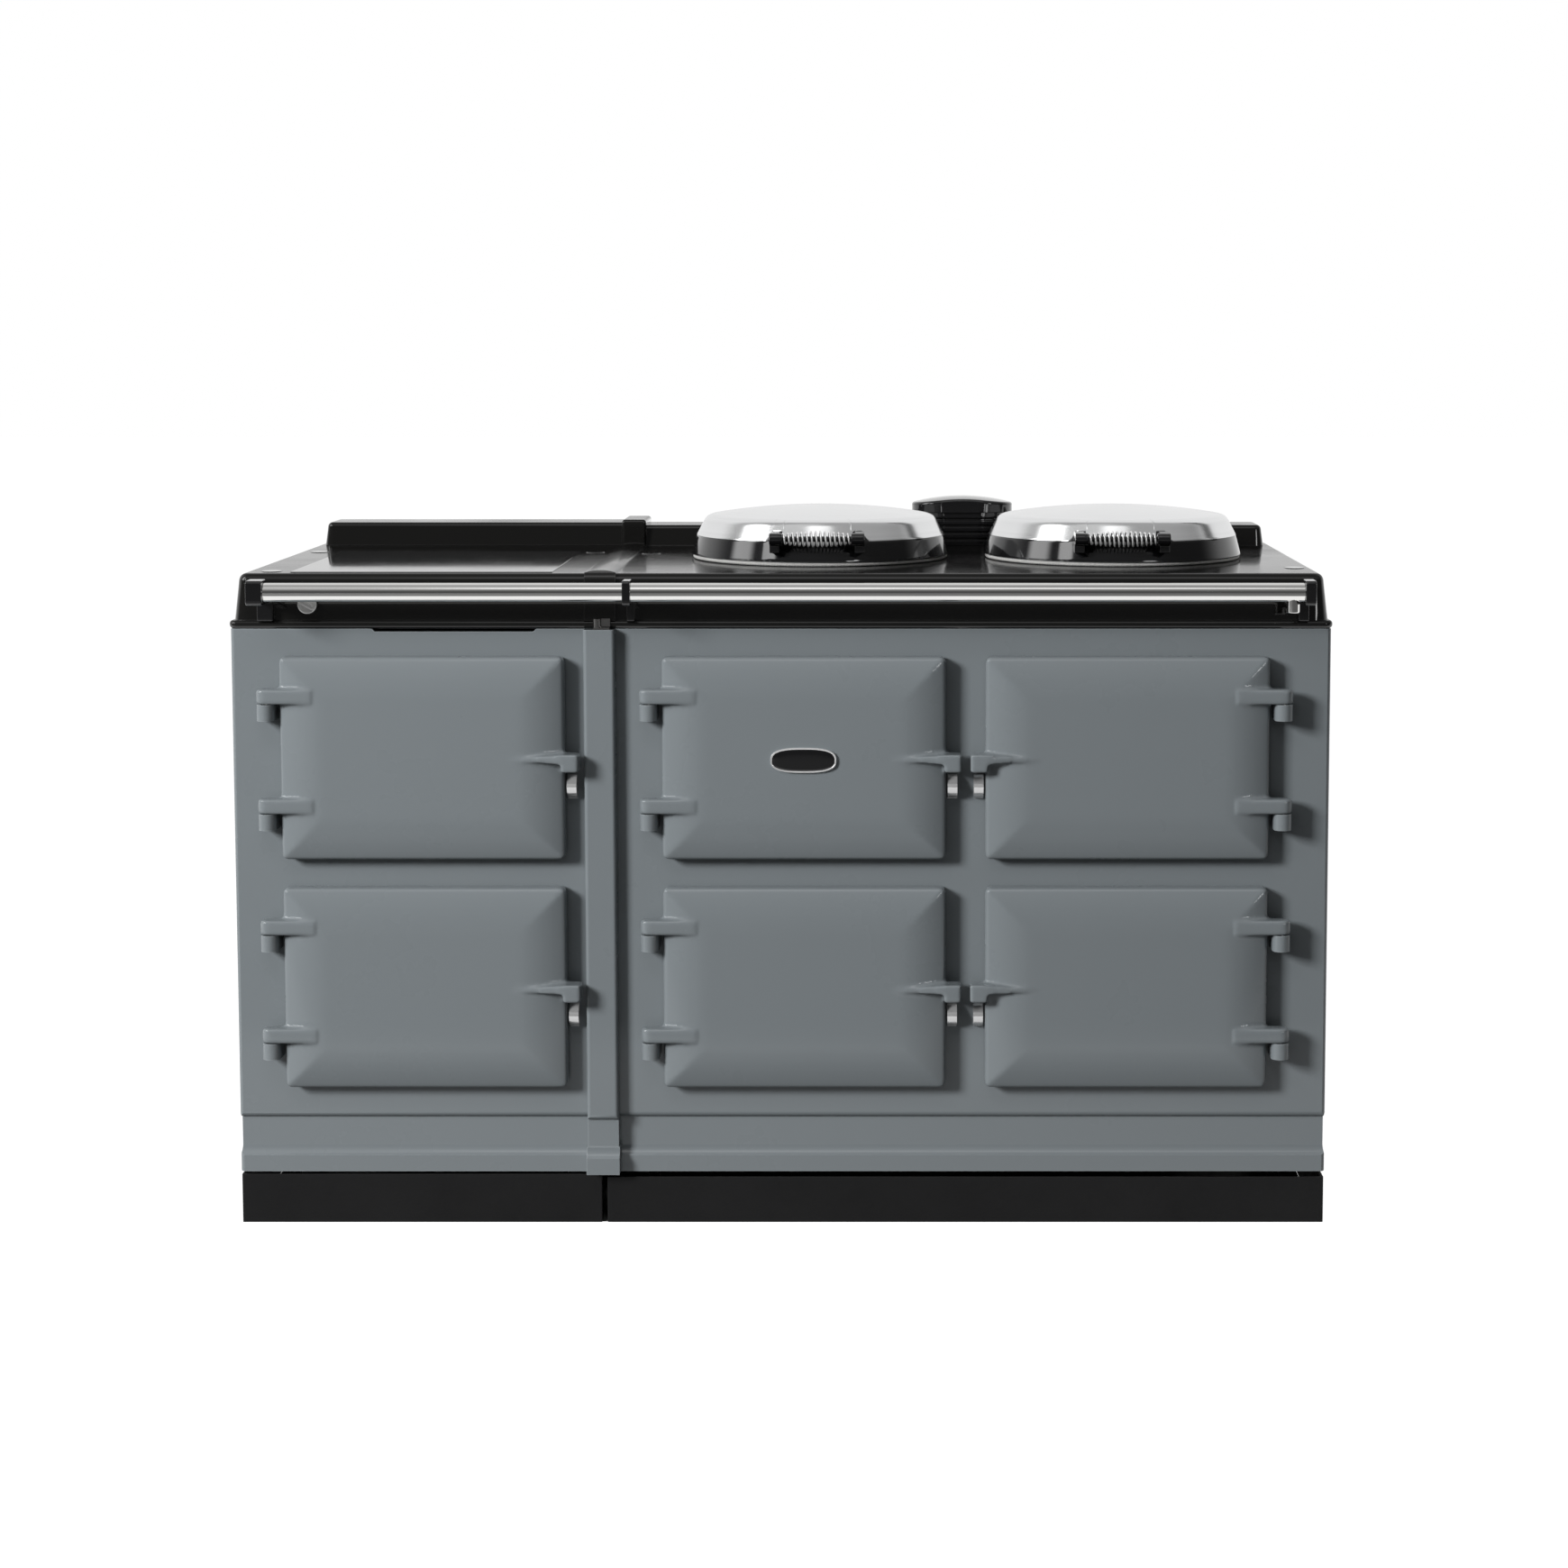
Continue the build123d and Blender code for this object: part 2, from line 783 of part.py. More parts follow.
def upstand(on_left):
    """A hollow ledge along the back of one plate, open below and cut square at the post."""
    height = upstand_heights[0 if on_left else 1]
    end = joint_x - post_width / 2 if on_left else joint_x + post_width / 2
    far = left_x + upstand_inset if on_left else right_x - upstand_inset
    beyond = end + post_width if on_left else end - post_width
    rear = back_y - upstand_back_gap
    middle = ((far + beyond) / 2, rear - upstand_depth / 2)
    width = abs(beyond - far)
    plan = Pos(*middle) * RectangleRounded(width, upstand_depth, upstand_corner)
    body = extrude(Plane.XY.offset(hob_height) * plan, height, taper=upstand_draft)
    body = fillet(body.faces().sort_by(Axis.Z)[-1].edges(), upstand_round)
    wall = 2 * upstand_wall
    inner = Pos(*middle) * Rectangle(width - wall, upstand_depth - wall)
    body -= extrude(Plane.XY.offset(hob_height) * inner, height - upstand_wall, taper=upstand_draft)
    low, high = min(far, end), max(far, end)
    body &= block(low, high, rear - upstand_depth, rear, hob_height, hob_height + height)
    if not on_left:
        bottom = hob_height - cut_overrun
        hole = vent_outline(vent_width, vent_body_depth, vent_clearance)
        body -= along_z(hole, bottom, bottom + 2 * height)
    return body


# Vent


def vent_outline(width, depth, margin=0):
    y = back_y - upstand_back_gap - upstand_depth / 2 - vent_front_gap
    return Pos(lid_middle_x, y) * SlotOverall(width + 2 * margin, depth + 2 * margin)


def vent_body():
    """The louvred body: a pill-shaped column with grooves round it."""
    top = hob_height + vent_cap_bottom
    body = along_z(vent_outline(vent_width, vent_body_depth), hob_height, top)
    free = vent_cap_bottom - upstand_heights[1]
    pitch = vent_cap_bottom / (vent_slot_count + 1)
    for index in range(vent_slot_count):
        middle = top - (index + 1) * pitch
        outside = vent_outline(vent_width, vent_body_depth, cut_overrun)
        inside = vent_outline(vent_width, vent_body_depth, -vent_slot_depth)
        ring = along_z(outside, middle - vent_slot_height / 2, middle + vent_slot_height / 2)
        body -= ring - along_z(inside, middle - free, middle + free)
    return body


def vent_cap():
    """The cap: an upright rim and a low crown."""
    low = hob_height + vent_cap_bottom
    high = hob_height + vent_cap_top
    outline = vent_outline(vent_cap_width, vent_cap_depth)
    rise = vent_cap_top - vent_cap_edge
    crown = ((vent_cap_width / 2) ** 2 + rise**2) / (2 * rise)
    cap = along_z(outline, low, high + cut_overrun)
    cap &= Pos(outline.center().X, outline.center().Y, high - crown) * Sphere(crown)
    return fillet(cap.faces().sort_by(Axis.Z)[-1].edges(), vent_cap_round)


# Rails, brackets and knobs


def bracket_centres():
    """The left end, the shared middle and the right end of the rails."""
    left = left_x + rail_left_inset - bracket_widths[0] / 2
    right = right_x - rail_right_inset + bracket_widths[2] / 2
    return left, joint_x + rail_joint_offset, right


def rail_span(on_left):
    left, middle, right = bracket_centres()
    if on_left:
        return left + bracket_widths[0] / 2 - bracket_socket, middle - bracket_widths[1] / 2 + bracket_socket
    return middle + bracket_widths[1] / 2 - bracket_socket, right - bracket_widths[2] / 2 + bracket_socket


def rail(on_left):
    """A steel tube with eased ends; the right one has a round peg under its end."""
    x0, x1 = rail_span(on_left)
    y = face_y - rail_reach
    tube = rod_x(rail_radius, x0, x1, y, rail_height)
    tube -= rod_x(rail_radius - rail_wall, x0, x1, y, rail_height)
    if not on_left:
        x = x1 - bracket_socket - rail_peg_inset
        low = rail_height - rail_radius - rail_peg_length + rail_wall
        peg = rod_z(rail_peg_radius, x, y, low, rail_height - rail_radius + 2 * rail_wall)
        peg = fillet(peg.faces().sort_by(Axis.Z)[0].edges(), rail_wall)
        tube += peg - rod_x(rail_radius - rail_wall, x0, x1, y, rail_height)
    return tube


def rail_bracket(x, width):
    """A cast bracket: a pad on the plate's front, an arm and a rounded head on the rail."""
    y = face_y - rail_reach
    front = face_y + plate_inset + plate_wall
    head = Pos(y, rail_height) * RectangleRounded(2 * bracket_head, 2 * bracket_head, bracket_round)
    arm_z = rail_height - bracket_head + bracket_arm_height / 2
    arm = Pos((y + front) / 2, arm_z) * Rectangle(front - y, bracket_arm_height)
    pad_low = panel_top + bead_height
    pad_y0 = face_y - bracket_pad_depth
    pad = Pos((pad_y0 + front) / 2, pad_low + bracket_pad_height / 2) * Rectangle(
        front - pad_y0, bracket_pad_height
    )
    shape = along_x(head + arm + pad, x - width / 2, x + width / 2)
    return shape - top_slab(0)


def rail_brackets():
    shapes = []
    rails = rail_solid(True) + rail_solid(False)
    for x, width in zip(bracket_centres(), bracket_widths):
        shapes.append(rail_bracket(x, width) - rails)
    return Compound(children=[solid for shape in shapes for solid in shape.solids()])


def rail_solid(on_left):
    x0, x1 = rail_span(on_left)
    return rod_x(rail_radius, x0, x1, face_y - rail_reach, rail_height)


def hob_switch():
    """A round knob with a bar grip, on a shaft through the plate's front."""
    x, z = switch_place
    slope = math.tan(math.radians(plate_draft))
    back = face_y + plate_inset + (z - switch_radius - panel_top - bead_height) * slope - moving_gap
    front = back - switch_depth
    knob = rod_y(switch_radius, x, front, back, z)
    knob = fillet(knob.faces().sort_by(Axis.Y)[0].edges(), switch_edge_round)
    grip = Rectangle(2 * switch_radius - switch_grip_width, switch_grip_width)
    grip = Pos(x, z) * Rot(0, 0, switch_grip_angle) * grip
    knob += along_y(grip, front - switch_grip_depth, front)
    return knob + rod_y(switch_shaft_radius, x, back, face_y + switch_shaft_length, z)


# Ovens, control compartment and shelves


def oven_box(x, z, depth):
    """An open-fronted steel box behind a mouth, with two shelf runners."""
    y0 = face_y + panel_thickness
    y1 = y0 + depth
    box = door_mouth(x, z, y0, y1 + oven_wall, oven_wall)
    box -= door_mouth(x, z, y0 - cut_overrun, y1)
    return box


def oven(x, z):
    box = oven_box(x, z, oven_depth)
    y0 = face_y + panel_thickness + shelf_front_setback
    low = z - mouth_height / 2 + runner_height
    for side in (-1, 1):
        wall = x + side * mouth_width / 2
        edge = wall - side * runner_width
        box += block(min(wall, edge), max(wall, edge), y0, y0 + shelf_depth, low, low + runner_thickness)
    return box


def grid_shelf(x, z):
    """A shelf of cross wires between two flat side bars, on the runners."""
    low = z - mouth_height / 2 + runner_height + runner_thickness
    y0 = face_y + panel_thickness + shelf_front_setback
    reach = mouth_width / 2 - shelf_side_gap
    shelf = block(x - reach, x - reach + shelf_bar_width, y0, y0 + shelf_depth, low, low + shelf_bar_height)
    shelf += block(x + reach - shelf_bar_width, x + reach, y0, y0 + shelf_depth, low, low + shelf_bar_height)
    pitch = shelf_depth / shelf_wire_count
    inner = reach - shelf_bar_width / 2
    for index in range(shelf_wire_count):
        y = y0 + (index + 0.5) * pitch
        wire = Pos(y, low + shelf_bar_height / 2) * RegularPolygon(shelf_wire_radius, shelf_wire_sides)
        shelf += along_x(wire, x - inner, x + inner)
    return shelf


def control_place():
    return column_places["centre"], row_places["upper"]


def control_holes():
    x, z = control_place()
    return [(x + offset * control_pitch, z) for offset in (-1, 0, 1)]


def control_compartment():
    """A shallow box behind the middle upper door with a fascia for three knobs."""
    x, z = control_place()
    box = oven_box(x, z, compartment_depth)
    y0 = face_y + panel_thickness + fascia_setback
    box += door_mouth(x, z, y0, y0 + fascia_thickness)
    for hole_x, hole_z in control_holes():
        hole = control_shaft_radius + running_clearance
        box -= rod_y(hole, hole_x, y0 - cut_overrun, y0 + fascia_thickness + cut_overrun, hole_z)
    return box


def control_knob(x, z):
    """A knob with a raised grip, and a shaft through the fascia."""
    y1 = face_y + panel_thickness + fascia_setback - moving_gap
    y0 = y1 - control_depth / 2
    knob = rod_y(control_radius, x, y0, y1, z)
    grip = along_y(Pos(x, z) * Rectangle(control_grip_width, 2 * control_radius), y1 - control_depth, y0)
    grip &= rod_y(control_radius, x, y1 - control_depth, y0, z)
    return knob + grip + rod_y(control_shaft_radius, x, y1, y1 + control_shaft_length, z)


# Heating and insulation


def oven_element(x, z):
    """A bent rod under the oven's roof, held by its legs in the back wall."""
    y1 = face_y + panel_thickness + oven_depth
    y0 = face_y + panel_thickness + element_front_gap
    top = z + mouth_height / 2 - element_drop
    half = mouth_width / 2 - element_side_gap
    path = FilletPolyline((x - half, y1, top), (x - half, y0, top), (x + half, y0, top), (x + half, y1, top),
                          radius=element_corner)
    profile = Plane(origin=path @ 0, z_dir=path % 0) * RegularPolygon(element_radius, element_sides)
    return sweep(profile, path=path)


def hotplate(x, y):
    """A thick cast-iron disc with an eased rim, its top just above the plate."""
    top = hob_height + hotplate_proud
    disc = rod_z(hotplate_radius, x, y, top - hotplate_thickness, top)
    return chamfer(disc.faces().sort_by(Axis.Z)[-1].edges(), hotplate_edge)


def ring_element(x, y):
    """The flat ring heater that the hotplate stands on, down to the insulation."""
    top = hob_height + hotplate_proud - hotplate_thickness
    ring = rod_z(ring_element_radius, x, y, insulation_top, top)
    return ring - rod_z(ring_element_radius / 2, x, y, top - ring_element_thickness, top)


def heating_elements():
    solids = []
    for name, x, z, on_right in door_places():
        if (x, z) != control_place():
            solids += oven_element(x, z).solids()
    for name, x, y in lid_places():
        solids += ring_element(x, y).solids()
    base = hob_height + glass_proud - glass_thickness
    middle_x = glass_left + glass_width / 2
    middle_y = face_y + glass_setback + glass_depth / 2
    for share_x, share_y in coil_disc_shares:
        x = middle_x + share_x * glass_width
        y = middle_y + share_y * glass_depth
        solids += rod_z(coil_disc_radius, x, y, base - coil_disc_thickness, base).solids()
    return Compound(children=solids)


def insulation(on_left):
    """A block of mineral fibre around one module's ovens."""
    low, high = module_span(on_left)
    x0 = low + side_thickness + insulation_gap
    x1 = high - side_thickness - insulation_gap
    y0 = face_y + panel_thickness
    y1 = back_y - back_thickness
    fill = block(x0, x1, y0, y1, skirt_bottom + base_thickness, insulation_top)
    for name, x, z, on_right in door_places():
        if low < x < high:
            depth = compartment_depth if (x, z) == control_place() else oven_depth
            fill -= door_mouth(x, z, y0 - cut_overrun, y0 + depth + oven_wall, oven_wall)
    return fill


# Doors


def cushion_half(half, edge, crown, grow=0):
    """Outline of a raised field: a flat middle that rolls down in an arc to a square flank."""
    run = door_bevel
    radius = (run**2 + crown**2) / (2 * crown)
    top = edge + crown
    flat = half - run
    mid = flat + run / 2
    mid_drop = radius - math.sqrt(radius**2 - (run / 2) ** 2)
    nose = door_edge_round
    slope_in = half - nose
    slope_drop = radius - math.sqrt(radius**2 - (slope_in - flat) ** 2)
    nose_mid = (half - nose * (1 - math.sqrt(0.5)), edge - nose * (1 - math.sqrt(0.5)) + nose / 4)
    right = [
        Line((0, top), (flat, top)),
        ThreePointArc((flat, top), (mid, top - mid_drop), (slope_in, top - slope_drop)),
        ThreePointArc((slope_in, top - slope_drop), nose_mid, (half, edge - nose)),
        Line((half, edge - nose), (half, 0)),
    ]
    left = [edge_.mirror(Plane.YZ) for edge_ in right]
    return make_face(right + left + [Line((-half, 0), (half, 0))])


def door_casting():
    """The enamelled outer casting, hinged on its left, its back at y = 0 and its centre at the origin."""
    plan = cushion_half(door_width / 2, door_flank, door_crown)
    upright = extrude(Plane.XY.offset(-door_height / 2) * plan, door_height)
    upright = mirror(upright, Plane.XZ)
    section = cushion_half(door_height / 2, door_flank, door_crown)
    level = extrude(Plane.XY.offset(-door_width / 2) * section, door_width)
    level = mirror(level, Plane.XZ)
    level = level.rotate(Axis.Y, 90)
    casting = upright & level
    depth = door_flank + door_crown
    ease = 2 * corner_ease
    outline = Plane.XZ * RectangleRounded(door_width + ease, door_height + ease, door_corner + ease)
    casting &= extrude(outline, depth)
    cavity = Plane.XZ * Rectangle(door_width - 2 * door_wall, door_height - 2 * door_wall)
    return casting - extrude(cavity, door_flank - door_wall)


def hinge_bar(offset):
    """A bar across the door's left edge, rounded over the pin, with its bore."""
    axis_x = -door_width / 2 - hinge_offset
    axis_y = door_back_gap - hinge_reach
    end_x = -door_width / 2 + bar_overlap
    half = bar_thickness / 2
    plan = Pos(axis_x, axis_y) * Circle(half)
    plan += Pos((axis_x + end_x) / 2, axis_y) * Rectangle(end_x - axis_x, bar_thickness)
    bar = along_z(plan, offset - bar_height / 2, offset + bar_height / 2)
    rims = bar.faces().sort_by(Axis.Z)[-1].edges() + bar.faces().sort_by(Axis.Z)[0].edges()
    bar = chamfer(rims, bar_round)
    keep = block(-door_width, end_x, -door_width, 0, -door_height, door_height)
    bar &= keep
    low = offset - bar_height / 2 - cut_overrun
    high = offset + bar_height / 2 - pin_cover + moving_gap
    return bar, rod_z(pin_radius + running_clearance, axis_x, axis_y, low, high)


def latch():
    """The fin on the right edge, tapering into the door's face, and the block at its end."""
    edge = door_width / 2
    tip = edge - latch_inset
    end = edge + latch_beyond
    crown = door_flank + door_crown
    front = latch_front - door_back_gap
    back = latch_back - door_back_gap
    plan = polygon(
        (tip, -crown + latch_tip_height),
        (tip, -crown),
        (edge - latch_round, -front),
        (end, -front),
        (end, -back),
        (edge - door_edge_round, -back),
    )
    block_low = -latch_bottom
    fin_low = latch_top - latch_fin_height
    front_view = polygon(
        (tip, -latch_tip_height / 2),
        (edge - latch_round, fin_low),
        (edge - latch_round, block_low),
        (end, block_low),
        (end, latch_top),
        (edge, latch_top),
        (tip, latch_tip_height / 2),
    )
    shape = along_z(plan, block_low, latch_top) & along_y(front_view, -front, 0)
    rims = shape.edges().filter_by(Axis.Z)
    rims = rims.filter_by(lambda rim: abs(rim.center().X - end) < running_clearance)
    return fillet(rims, latch_round)


def door(x, z, on_right):
    casting = door_casting()
    for offset in hinge_heights:
        bar, bore = hinge_bar(offset)
        casting = casting + bar - bore
    inside = Plane.XZ * Rectangle(door_width - 2 * door_wall, door_height - 2 * door_wall)
    casting += latch()
    casting -= extrude(inside, door_flank - door_wall)
    if on_right:
        casting = mirror(casting, Plane.YZ)
    return Pos(x, face_y - door_back_gap, z) * casting


def door_liner(x, z, reach):
    """The pan that closes the door's back, with the insulated plug that enters the mouth."""
    y = face_y - door_back_gap
    reach_x = door_width / 2 - door_wall
    reach_z = door_height / 2 - door_wall
    depth = door_flank - door_wall
    pan = block(x - reach_x, x + reach_x, y - depth, y, z - reach_z, z + reach_z)
    width = mouth_width - 2 * plug_clearance
    height = mouth_height - 2 * plug_clearance
    plug = along_y(Pos(x, z) * RectangleRounded(width, height, mouth_corner), y, face_y + reach)
    return pan + plug


def door_catch(x, z, on_right):
    """A bowed spring strip on the casting beside the door's free edge."""
    side = -1 if on_right else 1
    near = x + side * (door_width / 2 + catch_edge_gap)
    far = near + side * catch_width
    top = z - catch_top
    bottom = z - catch_bottom
    middle = (top + bottom) / 2
    waist = (top - bottom) / 8

    def bow(shrink):
        reach = face_y - catch_reach + shrink
        return [
            Line((face_y, bottom + shrink), (face_y, top - shrink)),
            ThreePointArc((face_y, top - shrink), (reach + waist, middle + 2 * waist), (reach, middle)),
            ThreePointArc((reach, middle), (reach + waist, middle - 2 * waist), (face_y, bottom + shrink)),
        ]

    strip = along_x(make_face(bow(0)), min(near, far), max(near, far))
    strip -= along_x(make_face(bow(catch_sheet)), min(near, far), max(near, far))
    strip += block(min(near, far), max(near, far), face_y - catch_sheet, face_y, bottom, top)
    return strip


def door_plaque():
    """A blank oval plaque with a raised rim, on the flat of the door's face."""
    x, z = control_place()
    face = face_y - door_back_gap - door_flank - door_crown
    front = face - plaque_depth
    plate = along_y(Pos(x, z) * Ellipse(plaque_width / 2, plaque_height / 2), front, face)
    field = Ellipse(plaque_width / 2 - plaque_rim, plaque_height / 2 - plaque_rim)
    return plate - along_y(Pos(x, z) * field, front, front + plaque_recess)


# Lids, hinges and sprung handles


def lid_form(shrink):
    """The lid's whole outer form, turned about its axis, drawn in by a wall."""
    base = lid_bottom
    crown = lid_apex - shrink
    crown_edge = lid_crown_edge - shrink
    shoulder_r = lid_shoulder_radius - shrink
    edge_r = lid_crown_edge_radius - shrink
    rise = lid_apex - lid_crown_edge
    crown_radius = (edge_r**2 + rise**2) / (2 * rise)
    fall = crown_radius - math.sqrt(crown_radius**2 - (edge_r / 2) ** 2)
    shoulder_mid = (
        (shoulder_r + edge_r) / 2 + lid_shoulder_bulge,
        (lid_shoulder + crown_edge) / 2 + lid_shoulder_lift,
    )
    section = make_face(
        [
            Line((0, base), (lid_radius - shrink, base)),
            Line((lid_radius - shrink, base), (lid_split_radius - shrink, lid_split)),
            Line((lid_split_radius - shrink, lid_split), (shoulder_r, lid_shoulder)),
            ThreePointArc((shoulder_r, lid_shoulder), shoulder_mid, (edge_r, crown_edge)),
            ThreePointArc((edge_r, crown_edge), (edge_r / 2, crown - fall), (0, crown)),
            Line((0, crown), (0, base)),
        ]
    )
    return revolve(Plane.XZ * section, Axis.Z)


def lid_ear(side):
    """The block at one bracket of the handle, where the black casting rises into the dome."""
    middle = side * handle_span / 2
    inner = middle - side * (handle_bracket_width / 2 + ear_margin)
    outer = middle + side * (handle_bracket_width / 2 + ear_margin)
    foot = outer + side * ear_run
    face = polygon((inner, 0), (foot, 0), (foot, lid_split), (outer, ear_top), (inner, ear_top))
    return along_y(face, -lid_radius - cut_overrun, -lid_radius / 2)


def lid_dome():
    """The bright spun dome, down to the split line and cut round the handle's brackets."""
    shell = lid_form(0) - lid_form(lid_wall)
    reach = lid_radius + cut_overrun
    shell &= block(-reach, reach, -reach, reach, lid_split, lid_apex + cut_overrun)
    return shell - lid_ear(-1) - lid_ear(1)


def lid_base():
    """The black casting under the dome: band, foot flange, two ears and the hinge knuckle."""
    shell = lid_form(0) - lid_form(lid_wall)
    reach = lid_radius + cut_overrun
    band = shell & block(-reach, reach, -reach, reach, 0, lid_split)
    band += shell & lid_ear(-1)
    band += shell & lid_ear(1)
    flange = rod_z(lid_radius - lid_wall, 0, 0, lid_bottom, lid_bottom + lid_wall)
    flange -= rod_z(liner_radius + lid_wall, 0, 0, lid_bottom - cut_overrun, lid_bottom + lid_foot)
    band += flange
    axis_y = lid_axis_offset
    face = Pos(axis_y, lid_hinge_height) * Circle(lug_radius)
    web_y = (axis_y + lid_split_radius - lid_wall) / 2
    face += Pos(web_y, lid_hinge_height) * Rectangle(axis_y - lid_split_radius + lid_wall, 2 * lug_radius)
    arm = along_x(face, -knuckle_width / 2, knuckle_width / 2)
    arm -= lid_form(lid_wall)
    arm -= rod_x(lid_pin_radius + running_clearance, -knuckle_width, knuckle_width, axis_y, lid_hinge_height)
    return band + arm


def lid_liner():
    """The insulated pan that faces the hotplate, seated in the foot flange."""
    pan = rod_z(liner_radius + lid_wall, 0, 0, lid_bottom, liner_height)
    return fillet(pan.faces().sort_by(Axis.Z)[-1].edges(), lid_wall)


def handle_bracket(side):
    """One bracket: a rounded head on the rod, an arm and a foot on the lid."""
    x = side * handle_span / 2
    half = handle_bracket_half
    head = Pos(-handle_reach, handle_height) * Circle(half)
    arm_end = -lid_shoulder_radius
    arm = Pos((arm_end - handle_reach) / 2, handle_height) * Rectangle(handle_reach + arm_end, 2 * half)
    foot_y0 = -lid_split_radius - handle_foot_depth
    foot = Pos((foot_y0 + arm_end) / 2, (handle_foot_height + handle_height) / 2) * Rectangle(
        arm_end - foot_y0, handle_height - handle_foot_height
    )
    shape = along_x(head + arm + foot, x - handle_bracket_width / 2, x + handle_bracket_width / 2)
    return shape - lid_form(0)


def coil_length():
    """Clear distance between the two collars."""
    return handle_span - handle_bracket_width - 2 * collar_length


def lid_handle():
    """Both brackets, the rod between them and the two collars."""
    shape = handle_bracket(-1) + handle_bracket(1)
    inner = (handle_span - handle_bracket_width) / 2
    shape += rod_x(handle_rod_radius, -inner, inner, -handle_reach, handle_height)
    for side in (-1, 1):
        ends = sorted((side * inner, side * (inner - collar_length)))
        shape += rod_x(collar_radius, ends[0], ends[1], -handle_reach, handle_height)
    return shape


def coil_point(turn):
    """A point on the barrel-shaped coil's centre line, at a number of turns from its start."""
    share = turn / coil_turns
    wound = coil_length() - 2 * (coil_end_run + coil_lead)
    radius = coil_end_radius + (coil_middle_radius - coil_end_radius) * math.sin(math.pi * share)
    angle = 2 * math.pi * turn
    x = wound * (share - 0.5)
    return Vector(x, -handle_reach + radius * math.cos(angle), handle_height + radius * math.sin(angle))


def coil_tangent(turn):
    step = 1 / coil_samples**2
    return (coil_point(turn + step) - coil_point(turn - step)).normalized()


def biarc(start, start_way, end, end_way):
    """Two arcs from start to end that keep both end directions."""
    chord = end - start
    both = start_way + end_way
    square = 2 * (1 - start_way.dot(end_way))
    linear = 2 * chord.dot(both)
    constant = -chord.dot(chord)
    reach = (-linear + math.sqrt(linear**2 - 4 * square * constant)) / (2 * square)
    first = start + start_way * reach
    second = end - end_way * reach
    middle = (first + second) * 0.5
    way = (second - first).normalized()
    return [TangentArc(start, middle, tangent=start_way), TangentArc(middle, end, tangent=way)]


def coil_path():
    """Straight end runs square to the collars, and half-turn biarcs between them."""
    half = coil_length() / 2
    level = Vector(1, 0, 0)
    drop = Vector(0, 0, -coil_end_radius)
    axis_start = Vector(-half, -handle_reach, handle_height) + drop
    run_start = axis_start + level * coil_end_run
    axis_end = Vector(half, -handle_reach, handle_height) - drop
    run_end = axis_end - level * coil_end_run
    edges = [Line(axis_start, run_start)]
    edges += biarc(run_start, level, coil_point(0), coil_tangent(0))
    for index in range(2 * coil_turns):
        first = index / 2
        second = (index + 1) / 2
        edges += biarc(coil_point(first), coil_tangent(first), coil_point(second), coil_tangent(second))
    last = coil_turns
    edges += biarc(coil_point(last), coil_tangent(last), run_end, level)
    edges.append(Line(run_end, axis_end))
    return Wire(edges)


def coil_gap(path):
    """Least clear distance between neighbouring stretches of the coil's wire."""
    count = coil_samples * (coil_turns + 1)
    points = [path.position_at(index / count) for index in range(count + 1)]
    apart = coil_samples // 2
    least = min(
        (points[i] - points[j]).length
        for i in range(count + 1)
        for j in range(i + apart, min(i + 2 * coil_samples, count + 1))
    )
    return least - coil_wire


def handle_coil():
    path = coil_path()
    print("least gap between the coil's turns", round(coil_gap(path), 2))
    section = Plane(origin=path @ 0, z_dir=path % 0) * RegularPolygon(coil_wire / 2, coil_sides)
    return sweep(section, path=path, clean=False)


def lid_seal(x, y):
    """A round rope ring on the plate under the lid's rim."""
    top = lid_bottom - seal_gap
    section = Pos(seal_radius, top / 2) * RegularPolygon(top / 2, seal_sides, major_radius=False)
    ring = revolve(Plane.XZ * section, Axis.Z)
    return Pos(x, y, hob_height) * ring


# Write every sub-part

save("plinths", Compound(children=plinth(True).solids() + plinth(False).solids()))
feet = [levelling_foot(x, y) for on_left in (True, False) for x, y in foot_places(on_left)]
save("levelling_feet", Compound(children=[solid for foot in feet for solid in foot.solids()]))
save("base_plates", Compound(children=base_plate(True).solids() + base_plate(False).solids()))
save("front_panel_left", front_panel(True))
save("front_panel_right", front_panel(False))
save("side_panels", Compound(children=side_panel(True).solids() + side_panel(False).solids()))
save("back_panels", Compound(children=back_panel(True).solids() + back_panel(False).solids()))
save("joint_pilaster", joint_pilaster())
save("joint_clip", joint_clip())
save("joint_strip", joint_strip())
save("top_plate_left", top_plate(True))
save("top_plate_right", top_plate(False))
save("upstand_left", upstand(True))
save("upstand_right", upstand(False))
save("vent_body", vent_body())
save("vent_cap", vent_cap())
save("hob_glass", hob_glass())
plugs = [plate_plug(x, setback) for x, setback in plug_places]
save("plate_plugs", Compound(children=[solid for plug in plugs for solid in plug.solids()]))
save("rails", Compound(children=rail(True).solids() + rail(False).solids()))
save("rail_brackets", rail_brackets())
save("hob_switch", hob_switch())

pins = []
catches = []
shelves = []
for name, x, z, on_right in door_places():
    pins += [hinge_pin(x, z, offset, on_right) for offset in hinge_heights]
    catches.append(door_catch(x, z, on_right))
    save(f"{name}_door", door(x, z, on_right))
    if (x, z) == control_place():
        save("control_compartment", control_compartment())
        save(f"{name}_door_liner", door_liner(x, z, plug_reach / 2))
    else:
        save(f"{name}_oven", oven(x, z))
        save(f"{name}_door_liner", door_liner(x, z, plug_reach))
        shelves.append(grid_shelf(x, z))
pins += [lid_pin(x, y) for name, x, y in lid_places()]
save("hinge_pins", Compound(children=[solid for pin in pins for solid in pin.solids()]))
save("door_catches", Compound(children=[solid for catch in catches for solid in catch.solids()]))
save("grid_shelves", Compound(children=[solid for shelf in shelves for solid in shelf.solids()]))
for number, (x, z) in enumerate(control_holes(), 1):
    save(f"control_knob_{number}", control_knob(x, z))
save("door_plaque", door_plaque())
